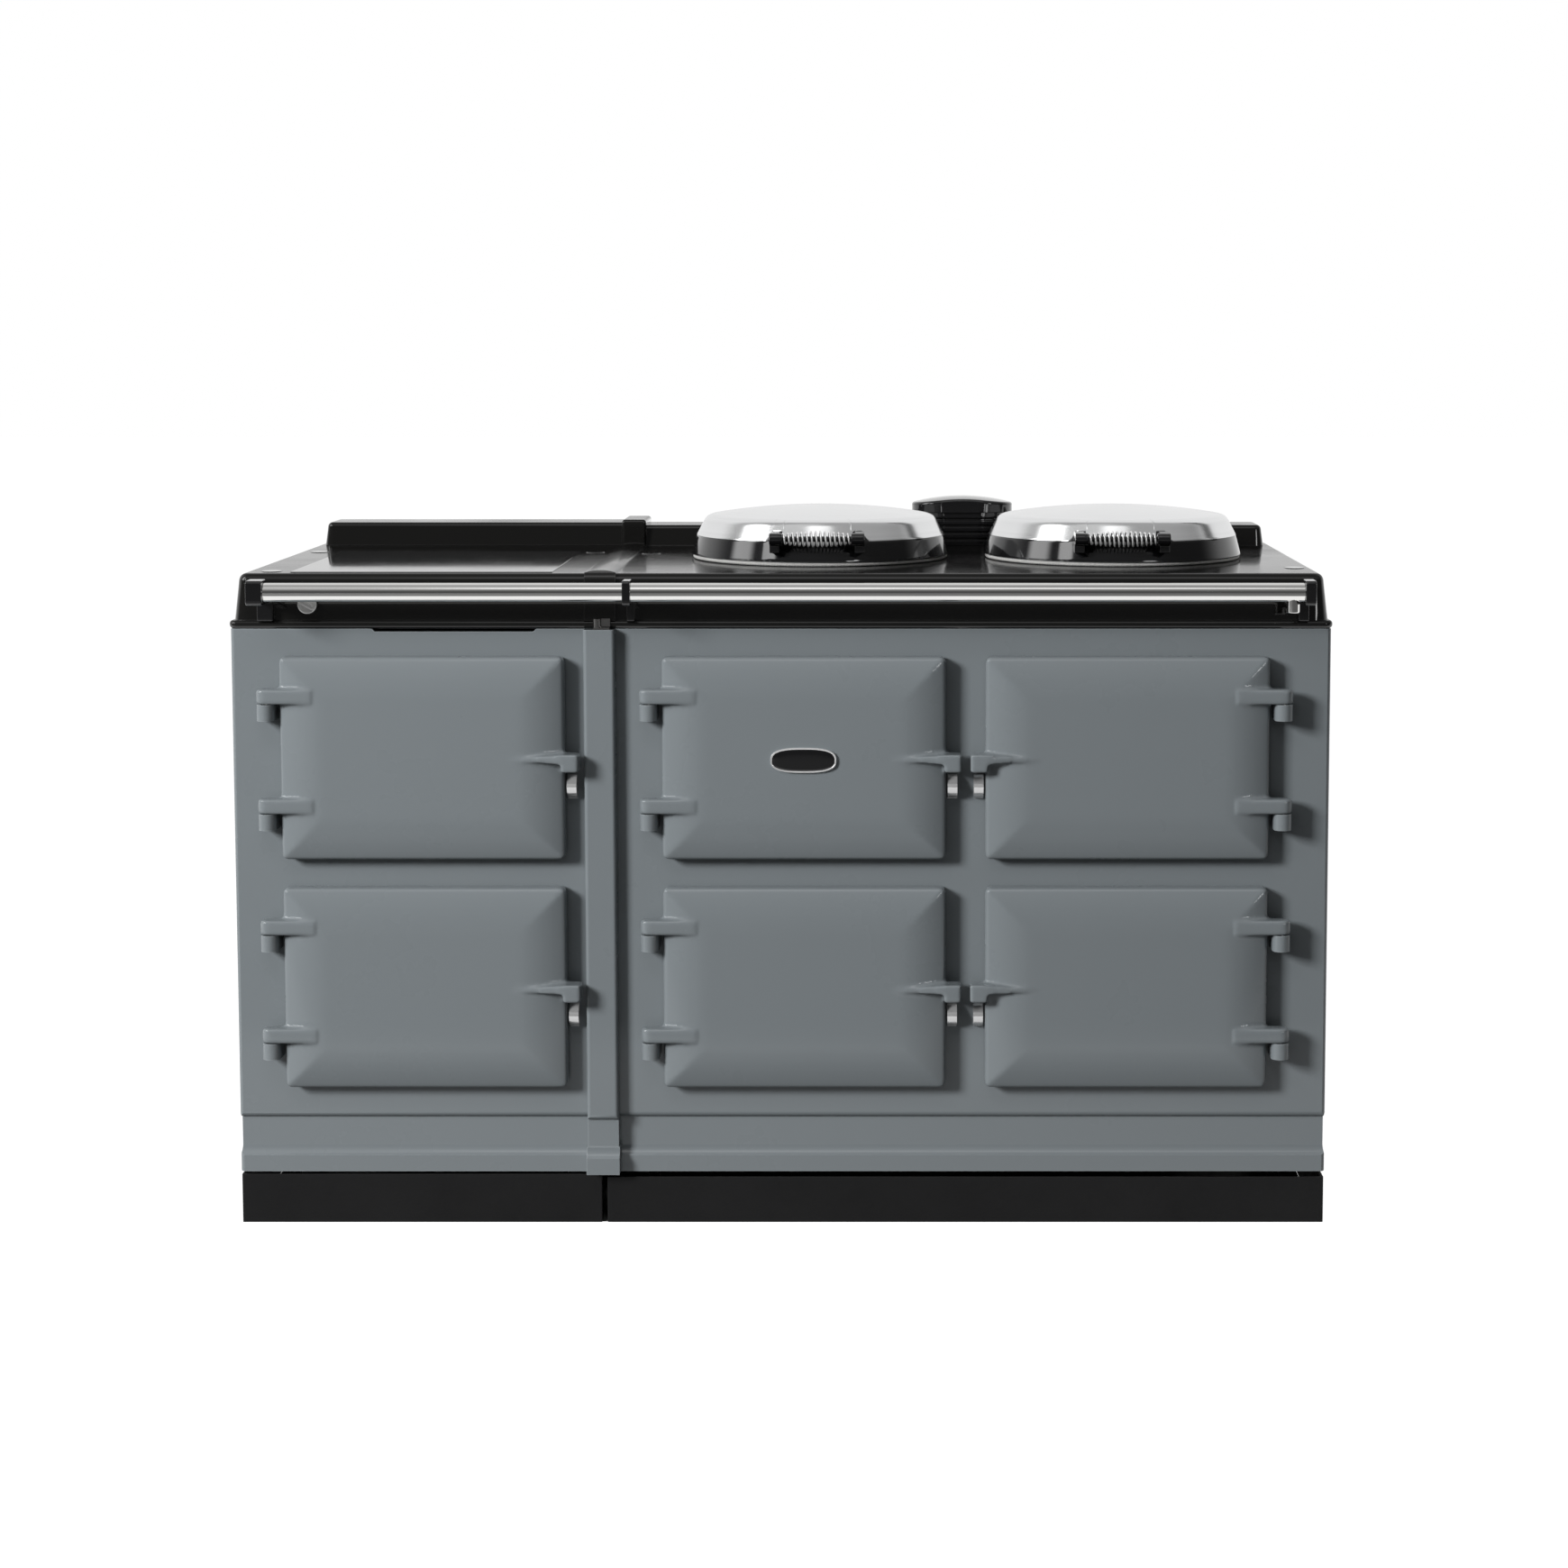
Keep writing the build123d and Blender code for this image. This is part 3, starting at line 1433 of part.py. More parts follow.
save("heating_elements", heating_elements())
save("insulation", Compound(children=insulation(True).solids() + insulation(False).solids()))

seals = []
hotplates = []
dome = lid_dome()
base = lid_base()
liner = lid_liner()
handle = lid_handle()
coil = handle_coil()
for name, x, y in lid_places():
    place = Pos(x, y, hob_height)
    save(f"{name}_dome", place * dome)
    save(f"{name}_base", place * base)
    save(f"{name}_liner", place * liner)
    save(f"{name}_handle", place * handle)
    save(f"{name}_coil", place * coil)
    seals += lid_seal(x, y).solids()
    hotplates += hotplate(x, y).solids()
save("lid_seals", Compound(children=seals))
save("hotplates", Compound(children=hotplates))
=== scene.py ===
"""Looks for the range cooker: enamelled castings, black gloss plates, spun domes and sprung handles.

Metres, +Z up, front faces -Y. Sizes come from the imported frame, or are real sizes in mm times MM.
"""

import json
import math

import bmesh
import bpy
import numpy as np
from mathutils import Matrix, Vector


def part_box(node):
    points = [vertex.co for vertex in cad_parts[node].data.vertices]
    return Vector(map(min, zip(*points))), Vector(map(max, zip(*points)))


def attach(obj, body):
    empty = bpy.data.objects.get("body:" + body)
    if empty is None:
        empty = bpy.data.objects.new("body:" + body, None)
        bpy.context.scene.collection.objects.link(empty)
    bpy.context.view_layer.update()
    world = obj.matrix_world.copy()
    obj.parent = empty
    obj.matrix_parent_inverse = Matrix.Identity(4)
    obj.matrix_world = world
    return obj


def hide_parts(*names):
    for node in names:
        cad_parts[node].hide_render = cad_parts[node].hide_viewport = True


MM = 0.001
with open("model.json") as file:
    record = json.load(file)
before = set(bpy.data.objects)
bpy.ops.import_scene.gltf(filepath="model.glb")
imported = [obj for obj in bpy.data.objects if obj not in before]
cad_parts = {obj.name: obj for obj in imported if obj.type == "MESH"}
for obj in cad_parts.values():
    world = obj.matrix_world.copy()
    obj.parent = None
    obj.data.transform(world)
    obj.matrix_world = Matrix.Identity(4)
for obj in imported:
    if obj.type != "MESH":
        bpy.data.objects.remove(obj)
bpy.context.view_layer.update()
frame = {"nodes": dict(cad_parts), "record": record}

DOORS = [f"{column}_{row}" for column in ("left", "centre", "right") for row in ("upper", "lower")]
LIDS = ("left_lid", "right_lid")
PANEL_SET_BACK = 13 * MM
face_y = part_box("side_panels")[0].y - PANEL_SET_BACK
hob_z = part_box("lid_seals")[0].z

# Camera: a long view from a little right of the middle and above the hob
CAMERA_RIGHT = 150.7 * MM
CAMERA_BACK = 3827.7 * MM
CAMERA_HEIGHT = 1202.3 * MM
CAMERA_DIP = 5.0
CAMERA_LENS = 66.1
CAMERA_SHIFT = (-0.0699, -0.1254)
CAMERA_SENSOR = 36
CAMERA_REACH = 60

# Studio as the object mirrors it: the level of its front, its ramps from behind and overhead as
# start, end and their two levels, and its panels as azimuth, half width, lowest and highest
# elevation, softness and level, where a negative level is a dark flag
DIM_FRONT = 0.1
BEHIND = (-0.1, 0.45, 0.0, 0.78)
OVERHEAD = (0.25, 0.75, 0.0, 0.3)
PANELS = (
    (-76, 6, 8, 42, 0.16, 5.0),
    (30, 4, 5, 13, 0.05, 8.0),
    (-48, 5, 18, 32, 0.06, 6.0),
    (0, 14, 46, 60, 0.05, 0.9),
    (110, 4, 14, 50, 0.04, -0.9),
    (-30, 26, 30, 60, 0.3, 0.25),
)

# Soft light from all round, and lamps as name, place, target, width, height and power: a key light
# on the left, a weak fill, a strip in front of the plates and one for the right side
AMBIENT = 0.055
LAMPS = (
    ("key", (-5.6, -5.1, 3.5), (0, 0, 0.5), 2.0, 2.0, 820),
    ("fill", (1.4, -4.6, 2.4), (0.2, 0, 0.7), 1.2, 1.0, 6),
    ("top", (-0.8, -2.6, 3.4), (0.0, -0.3, 0.6), 2.4, 0.8, 18),
    ("side", (4.6, 1.6, 2.4), (0.7, 0.0, 0.4), 1.6, 1.6, 80),
)

# Floor: its reach and colour, how bright it is mirrored near by and far off, where in front of the
# cooker that changes, and how far inside the plinths its painted shade begins
FLOOR_REACH = 30.0
FLOOR_COLOUR = (0.15, 0.15, 0.15, 1)
FLOOR_MIRRORED = 1.1
FLOOR_FAR_MIRRORED = 0.1
FLOOR_FAR_PLACE = 1.25
FLOOR_NEAR_PLACE = 0.85
FLOOR_DARK_INSET = 3 * MM

# Eased edges of the sheet and cast pieces
EASE_SEGMENTS = 2
EASE_ANGLE = 34.0
EASE_WEIGHT = 90
WELD_DISTANCE = 0.002 * MM
FLAT_ANGLE = 0.4

# Voxel and smoothing of the cast pieces
DOOR_VOXEL = 2.2 * MM
DOOR_SMOOTHING = 9
FITTING_VOXEL = 0.8 * MM
FITTING_SMOOTHING = 7
SMOOTHING_FACTOR = 0.5

# Plaque: corners are 1 for an ellipse and less for a squarer oval; its rings are mm in from the
# outline and shares of its thickness
PLAQUE_SQUARENESS = 0.72
PLAQUE_STEPS = 128
PLAQUE_CREASE = 40
PLAQUE_RIM = ((0, 0), (0, 0.6), (0.2, 0.85), (0.7, 1.0), (1.6, 1.0), (2.2, 0.9), (2.6, 0.6), (2.8, 0.3))
PLAQUE_FIELD = ((2.7, 0.3), (2.75, 0.62), (3.2, 0.68), (6.0, 0.74), (10.0, 0.78), (14.0, 0.8))

# Lid form, from the hob surface up
LID_RADIUS = 184 * MM
LID_BOTTOM = 6.5 * MM
LID_SPLIT = 34 * MM
LID_SPLIT_RADIUS = 177 * MM
LID_SHOULDER = 55 * MM
LID_SHOULDER_RADIUS = 166 * MM
LID_CORNER_IN = 3.5 * MM
LID_CORNER_DOWN = 1.2 * MM
LID_CORNER_STEPS = 12
LID_CROWN_EDGE = 63.5 * MM
LID_CROWN_EDGE_RADIUS = 150 * MM
LID_CROWN_STEPS = 41
LID_APEX = 75.4 * MM
LID_WALL = 2.5 * MM
LID_EDGE = 0.7 * MM
LID_CREASE = 50
BAND_ROWS = 10
BAND_PROUD = -0.05 * MM
BAND_SINK = 0.8 * MM
DOME_ROWS = 46
DOME_SPREAD = 1.15
DOME_LAST_SHARE = 0.985
KNUCKLE_HALF = 26 * MM

# The two ears of the black band, which climb to the handle's brackets
EAR_PLACE = 58.5 * MM
EAR_HALF_WIDTH = 7.6 * MM
EAR_RUN = 11 * MM
EAR_INNER_RUN = 1.5 * MM
EAR_RISE = 14 * MM
EAR_SWEEP = 2.4
LID_STEP = 2.5
EAR_STEP = 0.4

# Sprung handle
HANDLE_REACH = 200 * MM
HANDLE_HEIGHT = 39.6 * MM
COIL_TURNS = 15
COIL_TURN_STEPS = 30
COIL_END_RADIUS = 6.6 * MM
COIL_MIDDLE_RADIUS = 10.3 * MM
COIL_WIRE = 1.2 * MM
COIL_WIRE_SIDES = 10

# Seal rope: one strand wound round the ring as often as the rope has strands
ROPE_INSET = 4.5 * MM
ROPE_LAY_RADIUS = 1.5 * MM
ROPE_STRAND_RADIUS = 1.5 * MM
ROPE_STRANDS = 3
ROPE_LAYS = 271
ROPE_STEPS = 2600
ROPE_SIDES = 6


# Shader building

# Usual lowest and highest values of the noise in the smudges
CLOUD_LOW = 0.35
CLOUD_HIGH = 0.68


def new_tree(name, kind, inputs, outputs):
    """A new node group; an input given as a number is a float that starts there."""
    tree = bpy.data.node_groups.new(name, kind)
    for label, value in inputs.items():
        is_kind = isinstance(value, str)
        socket_type = value if is_kind else "NodeSocketFloat"
        socket = tree.interface.new_socket(name=label, in_out="INPUT", socket_type=socket_type)
        if not is_kind:
            socket.default_value = value
    for label, socket_type in outputs.items():
        tree.interface.new_socket(name=label, in_out="OUTPUT", socket_type=socket_type)
    return tree, tree.nodes.new("NodeGroupInput"), tree.nodes.new("NodeGroupOutput")


def shader_group(name, inputs, output):
    """A new shader node group with one float output."""
    return new_tree(name, "ShaderNodeTree", inputs, {output: "NodeSocketFloat"})


def link_all(tree, *pairs):
    """Links each pair's output to its input."""
    for source, target in pairs:
        tree.links.new(source, target)


def add(tree, kind, **values):
    """A node with its settings and socket values."""
    node = tree.nodes.new(kind)
    for key, value in values.items():
        if key in node.inputs:
            node.inputs[key].default_value = value
        else:
            setattr(node, key, value)
    return node


def math_node(tree, operation, first, second=None):
    """The result of one sum; each value is a number or another node's output."""
    node = add(tree, "ShaderNodeMath", operation=operation)
    for index, value in enumerate((first, second)):
        if value is None:
            continue
        if isinstance(value, (int, float)):
            node.inputs[index].default_value = value
        else:
            tree.links.new(value, node.inputs[index])
    return node.outputs[0]


def product(tree, first, *others):
    """All the values multiplied, in their order."""
    for other in others:
        first = math_node(tree, "MULTIPLY", first, other)
    return first


def ramp(tree, value, low, high, at_low, at_high):
    """A value that goes smoothly from one level to another between two limits."""
    span = add(tree, "ShaderNodeMapRange", interpolation_type="SMOOTHSTEP")
    for label, number in (("From Min", low), ("From Max", high), ("To Min", at_low), ("To Max", at_high)):
        span.inputs[label].default_value = number
    tree.links.new(value, span.inputs["Value"])
    return span.outputs[0]


def own_place(tree):
    """Coordinates of the piece itself."""
    return tree.nodes.new("ShaderNodeTexCoord").outputs["Object"]


def axes_of(tree, vector):
    """The three parts of a vector."""
    parts = tree.nodes.new("ShaderNodeSeparateXYZ")
    tree.links.new(vector, parts.inputs[0])
    return parts.outputs


def placed_node(tree, kind, place, **values):
    """A texture or mapping node that reads these coordinates."""
    node = add(tree, kind, **values)
    tree.links.new(place, node.inputs["Vector"])
    return node


def enamel_ripple_group():
    """Height of the faint waves that fired enamel sets in."""
    tree, entry, leave = shader_group("enamel ripple", {"Scale": 40.0}, "Height")
    place = own_place(tree)
    fine = placed_node(tree, "ShaderNodeTexNoise", place, Detail=1.0)
    broad = placed_node(tree, "ShaderNodeTexNoise", place, Detail=0.0)
    scale = entry.outputs["Scale"]
    faint = product(tree, fine.outputs[0], 0.25)
    link_all(
        tree,
        (scale, fine.inputs["Scale"]),
        (product(tree, scale, 0.22), broad.inputs["Scale"]),
        (math_node(tree, "ADD", faint, broad.outputs[0]), leave.inputs["Height"]),
    )
    return tree


def edge_mask_group():
    """Where the surface turns over an edge: 0 on open faces, 1 on the edge."""
    tree, entry, leave = shader_group("edge mask", {"Width": 0.002, "Gain": 6.0}, "Mask")
    soft = add(tree, "ShaderNodeBevel", samples=4)
    surface = tree.nodes.new("ShaderNodeNewGeometry")
    turn = add(tree, "ShaderNodeVectorMath", operation="DOT_PRODUCT")
    link_all(
        tree,
        (entry.outputs["Width"], soft.inputs["Radius"]),
        (soft.outputs[0], turn.inputs[0]),
        (surface.outputs["Normal"], turn.inputs[1]),
    )
    lost = math_node(tree, "SUBTRACT", 1.0, turn.outputs["Value"])
    gained = product(tree, lost, entry.outputs["Gain"])
    tree.links.new(math_node(tree, "MINIMUM", gained, 1.0), leave.inputs["Mask"])
    return tree


def smudge_group():
    """A roughness that wanders between two values, as handling leaves it."""
    tree, entry, leave = shader_group("smudges", {"Scale": 6.0, "Low": 0.1, "High": 0.2}, "Roughness")
    cloud = placed_node(tree, "ShaderNodeTexNoise", own_place(tree), Detail=5.0, Roughness=0.62)
    span = tree.nodes.new("ShaderNodeMapRange")
    span.inputs["From Min"].default_value = CLOUD_LOW
    span.inputs["From Max"].default_value = CLOUD_HIGH
    link_all(
        tree,
        (entry.outputs["Scale"], cloud.inputs["Scale"]),
        (cloud.outputs[0], span.inputs["Value"]),
        (entry.outputs["Low"], span.inputs["To Min"]),
        (entry.outputs["High"], span.inputs["To Max"]),
        (span.outputs[0], leave.inputs["Roughness"]),
    )
    return tree


def brushed_group():
    """Fine parallel scratches along X."""
    tree, entry, leave = shader_group("brushed lines", {"Scale": 900.0, "Stretch": 0.01}, "Height")
    parts = axes_of(tree, own_place(tree))
    whole = tree.nodes.new("ShaderNodeCombineXYZ")
    lines = placed_node(tree, "ShaderNodeTexNoise", whole.outputs[0], Detail=2.0)
    link_all(
        tree,
        (product(tree, parts[0], entry.outputs["Stretch"]), whole.inputs[0]),
        (parts[1], whole.inputs[1]),
        (parts[2], whole.inputs[2]),
        (entry.outputs["Scale"], lines.inputs["Scale"]),
        (lines.outputs[0], leave.inputs["Height"]),
    )
    return tree


def spun_group():
    """Fine rings round the Z axis of a turned piece, in its own mapped coordinates."""
    inputs = {"Place": "NodeSocketVector", "Scale": 260.0}
    tree, entry, leave = shader_group("spun lines", inputs, "Height")
    parts = axes_of(tree, entry.outputs["Place"])
    across = math_node(tree, "POWER", parts[0], 2.0)
    along = math_node(tree, "POWER", parts[1], 2.0)
    radius = math_node(tree, "SQRT", math_node(tree, "ADD", across, along))
    lines = add(tree, "ShaderNodeTexNoise", noise_dimensions="1D", Detail=3.0)
    link_all(
        tree,
        (radius, lines.inputs["W"]),
        (entry.outputs["Scale"], lines.inputs["Scale"]),
        (lines.outputs[0], leave.inputs["Height"]),
    )
    return tree


RIPPLE = enamel_ripple_group()
EDGE = edge_mask_group()
SMUDGE = smudge_group()
BRUSHED = brushed_group()
SPUN = spun_group()


def use_group(tree, group, **values):
    """A node group placed in a tree with its own input values."""
    node = tree.nodes.new("ShaderNodeGroup")
    node.node_tree = group
    for label, value in values.items():
        node.inputs[label.title()].default_value = value
    return node


def blank_material(name, **values):
    """A material and its tree and shader, with these values written on the shader's sockets."""
    material = bpy.data.materials.new(name)
    material.use_nodes = True
    tree = material.node_tree
    shader = tree.nodes["Principled BSDF"]
    set_values(shader, **values)
    return material, tree, shader


def set_values(shader, **values):
    """Writes values on the shader's sockets by their names."""
    sockets = {"specular": "Specular IOR Level"}
    for label, value in values.items():
        shader.inputs[sockets.get(label, label.replace("_", " ").title())].default_value = value


def set_colour(tree, shader, colour, second, mask):
    """Base colour that goes from one colour to a second by a mask."""
    blend = add(tree, "ShaderNodeMix", data_type="RGBA")
    blend.inputs["A"].default_value = (*colour, 1)
    blend.inputs["B"].default_value = (*second, 1)
    tree.links.new(mask, blend.inputs["Factor"])
    tree.links.new(blend.outputs["Result"], shader.inputs["Base Color"])


def set_edge_colour(tree, shader, colour, edge_colour, width, gain):
    """Base colour that changes where the piece turns over an edge."""
    edge = use_group(tree, EDGE, width=width, gain=gain)
    set_colour(tree, shader, colour, edge_colour, edge.outputs[0])


def set_smudges(tree, shader, scale, low, high):
    """Roughness that wanders between two values."""
    smudge = use_group(tree, SMUDGE, scale=scale, low=low, high=high)
    tree.links.new(smudge.outputs[0], shader.inputs["Roughness"])


def set_bump(tree, shader, height, strength, distance):
    bump = add(tree, "ShaderNodeBump", Strength=strength, Distance=distance)
    tree.links.new(height, bump.inputs["Height"])
    tree.links.new(bump.outputs[0], shader.inputs["Normal"])


def enamel(name, colour, edge_colour, ripple_scale, ripple_depth, low, high, gloss):
    """Fired enamel: glossy, faintly wavy, and of its edge colour where it turns over an edge; on the slate
    that is a painted highlight.
    """
    material, tree, shader = blank_material(name, specular=0.1, coat_weight=gloss, coat_roughness=0.05)
    set_edge_colour(tree, shader, colour, edge_colour, width=2.5 * MM, gain=4.0)
    set_smudges(tree, shader, 5.0, low, high)
    ripple = use_group(tree, RIPPLE, scale=ripple_scale)
    set_bump(tree, shader, ripple.outputs[0], 1.0, ripple_depth)
    return material


def gloss_by_slope(material, low, high, at_low, at_high):
    """Coat weight that changes with how far a face looks up."""
    tree = material.node_tree
    upward = axes_of(tree, tree.nodes.new("ShaderNodeNewGeometry").outputs["Normal"])[2]
    weight = ramp(tree, upward, low, high, at_low, at_high)
    tree.links.new(weight, tree.nodes["Principled BSDF"].inputs["Coat Weight"])


def slate_enamel():
    """Slate enamel with a painted highlight on its edges; the faces that look down mirror less of the pale
    floor.
    """
    material = enamel(
        "slate_enamel",
        colour=(0.171, 0.191, 0.202),
        # Lighter edge colour: a painted highlight along every edge of the doors, bars and panels
        edge_colour=(0.28, 0.305, 0.316),
        ripple_scale=34.0,
        ripple_depth=0.35 * MM,
        low=0.25,
        high=0.35,
        gloss=0.5,
    )
    gloss_by_slope(material, -0.3, 0.5, 0.05, 1.0)
    return material


def black_enamel():
    """Black gloss enamel of the lids, handles, brackets and vent."""
    return enamel(
        "black_enamel",
        colour=(0.005, 0.005, 0.0055),
        edge_colour=(0.012, 0.012, 0.012),
        ripple_scale=60.0,
        ripple_depth=0.08 * MM,
        low=0.1,
        high=0.2,
        gloss=1.0,
    )


def plate_enamel():
    """Black enamel; its level faces, seen at a low angle, mirror less than its upright ones."""
    material = enamel(
        "plate_enamel",
        colour=(0.0055, 0.0054, 0.005),
        edge_colour=(0.03, 0.03, 0.03),
        ripple_scale=60.0,
        ripple_depth=0.06 * MM,
        low=0.1,
        high=0.2,
        gloss=1.0,
    )
    gloss_by_slope(material, 0.3, 0.9, 1.0, 0.15)
    set_values(material.node_tree.nodes["Principled BSDF"], specular=0.05)
    return material


def plinth_paint():
    """Matt powder paint with a fine grain."""
    material, tree, shader = blank_material("plinth_paint", specular=0.12)
    grain = use_group(tree, RIPPLE, scale=2200.0)
    set_edge_colour(tree, shader, (0.009, 0.009, 0.0093), (0.03, 0.03, 0.03), width=1.5 * MM, gain=5.0)
    set_smudges(tree, shader, 9.0, 0.5, 0.66)
    set_bump(tree, shader, grain.outputs[0], 0.5, 0.12 * MM)
    return material


def brushed_metal(name, colour, low, high, depth, metallic=1.0):
    """Metal with fine scratches along X, its roughness between two values."""
    material, tree, shader = blank_material(name, metallic=metallic)
    lines = use_group(tree, BRUSHED, scale=1500.0, stretch=0.012)
    darker = tuple(0.86 * value for value in colour)
    set_colour(tree, shader, darker, colour, lines.outputs[0])
    set_smudges(tree, shader, 7.0, low, high)
    set_bump(tree, shader, lines.outputs[0], 0.35, depth)
    return material


def bright_fitting(name, colour):
    """Polished steel of the small fittings, which also scatters some of the light on it."""
    return brushed_metal(name, colour, 0.12, 0.2, 0.02 * MM, metallic=0.6)


def ring_height(tree, place, middle, scale):
    """Height of fine rings round a vertical axis through a middle."""
    centred = placed_node(tree, "ShaderNodeMapping", place, Location=(-middle.x, -middle.y, 0))
    rings = use_group(tree, SPUN, scale=scale)
    tree.links.new(centred.outputs[0], rings.inputs["Place"])
    return rings.outputs[0]


def spun_metal(name, middle, colour, low, high, scale, depth):
    """Metal turned on a lathe about a vertical axis through the middle."""
    material, tree, shader = blank_material(name, metallic=1.0)
    rings = ring_height(tree, own_place(tree), middle, scale)
    darker = tuple(0.9 * value for value in colour)
    set_colour(tree, shader, darker, colour, rings)
    set_smudges(tree, shader, 8.0, low, high)
    set_bump(tree, shader, rings, 0.4, depth)
    return material


def hob_glass_material():
    """Charcoal ceramic glass with a paler ground edge."""
    values = {"specular": 0.1, "coat_weight": 0.5, "coat_roughness": 0.06}
    material, tree, shader = blank_material("ceramic_glass", **values)
    set_smudges(tree, shader, 4.0, 0.03, 0.09)
    set_edge_colour(tree, shader, (0.042, 0.043, 0.044), (0.16, 0.165, 0.17), width=0.8 * MM, gain=6.0)
    return material


def cast_iron_material(name, middles):
    """Machined iron faces with fine turning marks round each hotplate's middle."""
    material, tree, shader = blank_material(name, metallic=0.85)
    place = own_place(tree)
    left, right = (ring_height(tree, place, middle, 700.0) for middle in middles)
    halfway = (middles[0].x + middles[1].x) / 2
    chooser = math_node(tree, "GREATER_THAN", axes_of(tree, place)[0], halfway)
    pick = tree.nodes.new("ShaderNodeMix")
    link_all(tree, (chooser, pick.inputs["Factor"]), (left, pick.inputs["A"]), (right, pick.inputs["B"]))
    pit = placed_node(tree, "ShaderNodeTexNoise", place, Scale=55.0, Detail=6.0)
    set_colour(tree, shader, (0.07, 0.066, 0.062), (0.17, 0.165, 0.16), pit.outputs[0])
    set_smudges(tree, shader, 10.0, 0.28, 0.5)
    set_bump(tree, shader, pick.outputs["Result"], 0.5, 0.12 * MM)
    return material


def oven_enamel():
    """Black vitreous lining with fine pale flecks."""
    material, tree, shader = blank_material("oven_enamel")
    flecks = placed_node(tree, "ShaderNodeTexVoronoi", own_place(tree), Scale=420.0)
    spot = math_node(tree, "LESS_THAN", flecks.outputs["Distance"], 0.16)
    set_colour(tree, shader, (0.012, 0.012, 0.014), (0.22, 0.23, 0.25), spot)
    set_smudges(tree, shader, 9.0, 0.18, 0.35)
    ripple = use_group(tree, RIPPLE, scale=90.0)
    set_bump(tree, shader, ripple.outputs[0], 0.6, 0.1 * MM)
    return material


def fibre(name, dark, light, scale, depth):
    """Matted mineral fibre or woven rope."""
    material, tree, shader = blank_material(name, roughness=0.85)
    values = {"Scale": scale, "Detail": 8.0, "Distortion": 1.6}
    strands = placed_node(tree, "ShaderNodeTexNoise", own_place(tree), **values)
    set_colour(tree, shader, dark, light, strands.outputs[0])
    set_bump(tree, shader, strands.outputs[0], 0.8, depth)
    return material


def moulded_plastic():
    """Fine-grained plastic of the control knobs."""
    material, tree, shader = blank_material("moulded_plastic")
    grain = placed_node(tree, "ShaderNodeTexNoise", own_place(tree), Scale=900.0, Detail=3.0)
    set_edge_colour(tree, shader, (0.016, 0.016, 0.018), (0.05, 0.05, 0.052), width=0.8 * MM, gain=5.0)
    set_smudges(tree, shader, 20.0, 0.32, 0.45)
    set_bump(tree, shader, grain.outputs[0], 0.25, 0.05 * MM)
    return material


def galvanised():
    """Zinc spangle on the back sheets."""
    material, tree, shader = blank_material("galvanised", metallic=0.9)
    spangle = placed_node(tree, "ShaderNodeTexVoronoi", own_place(tree), Scale=70.0)
    parts = tree.nodes.new("ShaderNodeSeparateColor")
    tree.links.new(spangle.outputs["Color"], parts.inputs[0])
    set_colour(tree, shader, (0.4, 0.41, 0.42), (0.48, 0.49, 0.51), parts.outputs[0])
    span = tree.nodes.new("ShaderNodeMapRange")
    span.inputs["To Min"].default_value = 0.32
    span.inputs["To Max"].default_value = 0.52
    tree.links.new(parts.outputs[1], span.inputs["Value"])
    tree.links.new(span.outputs[0], shader.inputs["Roughness"])
    return material


SLATE = slate_enamel()
BLACK = black_enamel()
PLATE = plate_enamel()
PLINTH = plinth_paint()
STEEL = brushed_metal("brushed_steel", (0.74, 0.735, 0.72), 0.08, 0.14, 0.02 * MM)
LINER = brushed_metal("liner_steel", (0.5, 0.5, 0.49), 0.3, 0.42, 0.05 * MM)
FITTING = bright_fitting("bright_fitting", (0.85, 0.85, 0.85))
GLASS = hob_glass_material()
OVEN = oven_enamel()
WOOL = fibre("mineral_wool", (0.34, 0.32, 0.26), (0.62, 0.6, 0.52), 160.0, 2 * MM)
ROPE = fibre("seal_rope", (0.05, 0.05, 0.05), (0.8, 0.8, 0.78), 700.0, 0.3 * MM)
KNOB = bright_fitting("turned_knob", (0.75, 0.75, 0.74))
CLIP = brushed_metal("clip_steel", (0.3, 0.295, 0.29), 0.12, 0.2, 0.03 * MM)
CATCH = bright_fitting("catch_steel", (0.6, 0.6, 0.6))
PLASTIC = moulded_plastic()
ZINC = galvanised()
HEATER = fibre("heater_sheath", (0.025, 0.022, 0.02), (0.075, 0.068, 0.06), 240.0, 0.1 * MM)


# Mesh helpers


def body_of_node(node):
    """The CAD body that holds a node."""
    for body, members in frame["record"]["behaviour"]["bodies"].items():
        if node in members:
            return body
    raise ValueError(node)


def new_object(name, data):
    piece = bpy.data.objects.new(name, data)
    bpy.context.scene.collection.objects.link(piece)
    return piece


def place_piece(piece, body, slot, *nodes):
    """Puts a finished piece on its body, and in place of any nodes it stands for."""
    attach(piece, body)
    if nodes:
        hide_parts(*nodes)
    return piece


def welded_copy(node, name):
    """A copy of a CAD node's mesh, joined up and with its flat faces whole."""
    form = bmesh.new()
    form.from_mesh(frame["nodes"][node].data)
    bmesh.ops.remove_doubles(form, verts=form.verts, dist=WELD_DISTANCE)
    flat = math.radians(FLAT_ANGLE)
    bmesh.ops.dissolve_limit(form, angle_limit=flat, verts=form.verts, edges=form.edges)
    mesh = bpy.data.meshes.new(name)
    form.to_mesh(mesh)
    form.free()
    return new_object(name, mesh)


def smooth_faces(mesh):
    for face in mesh.polygons:
        face.use_smooth = True


def smooth_by_angle(piece, angle):
    smooth_faces(piece.data)
    piece.data.set_sharp_from_angle(angle=math.radians(angle))


def set_material(mesh, material):
    mesh.materials.clear()
    mesh.materials.append(material)


def bake_modifiers(piece):
    """Turns a piece with its modifiers into a plain mesh."""
    graph = bpy.context.evaluated_depsgraph_get()
    mesh = bpy.data.meshes.new_from_object(piece.evaluated_get(graph), depsgraph=graph)
    piece.modifiers.clear()
    piece.data = mesh
    return piece


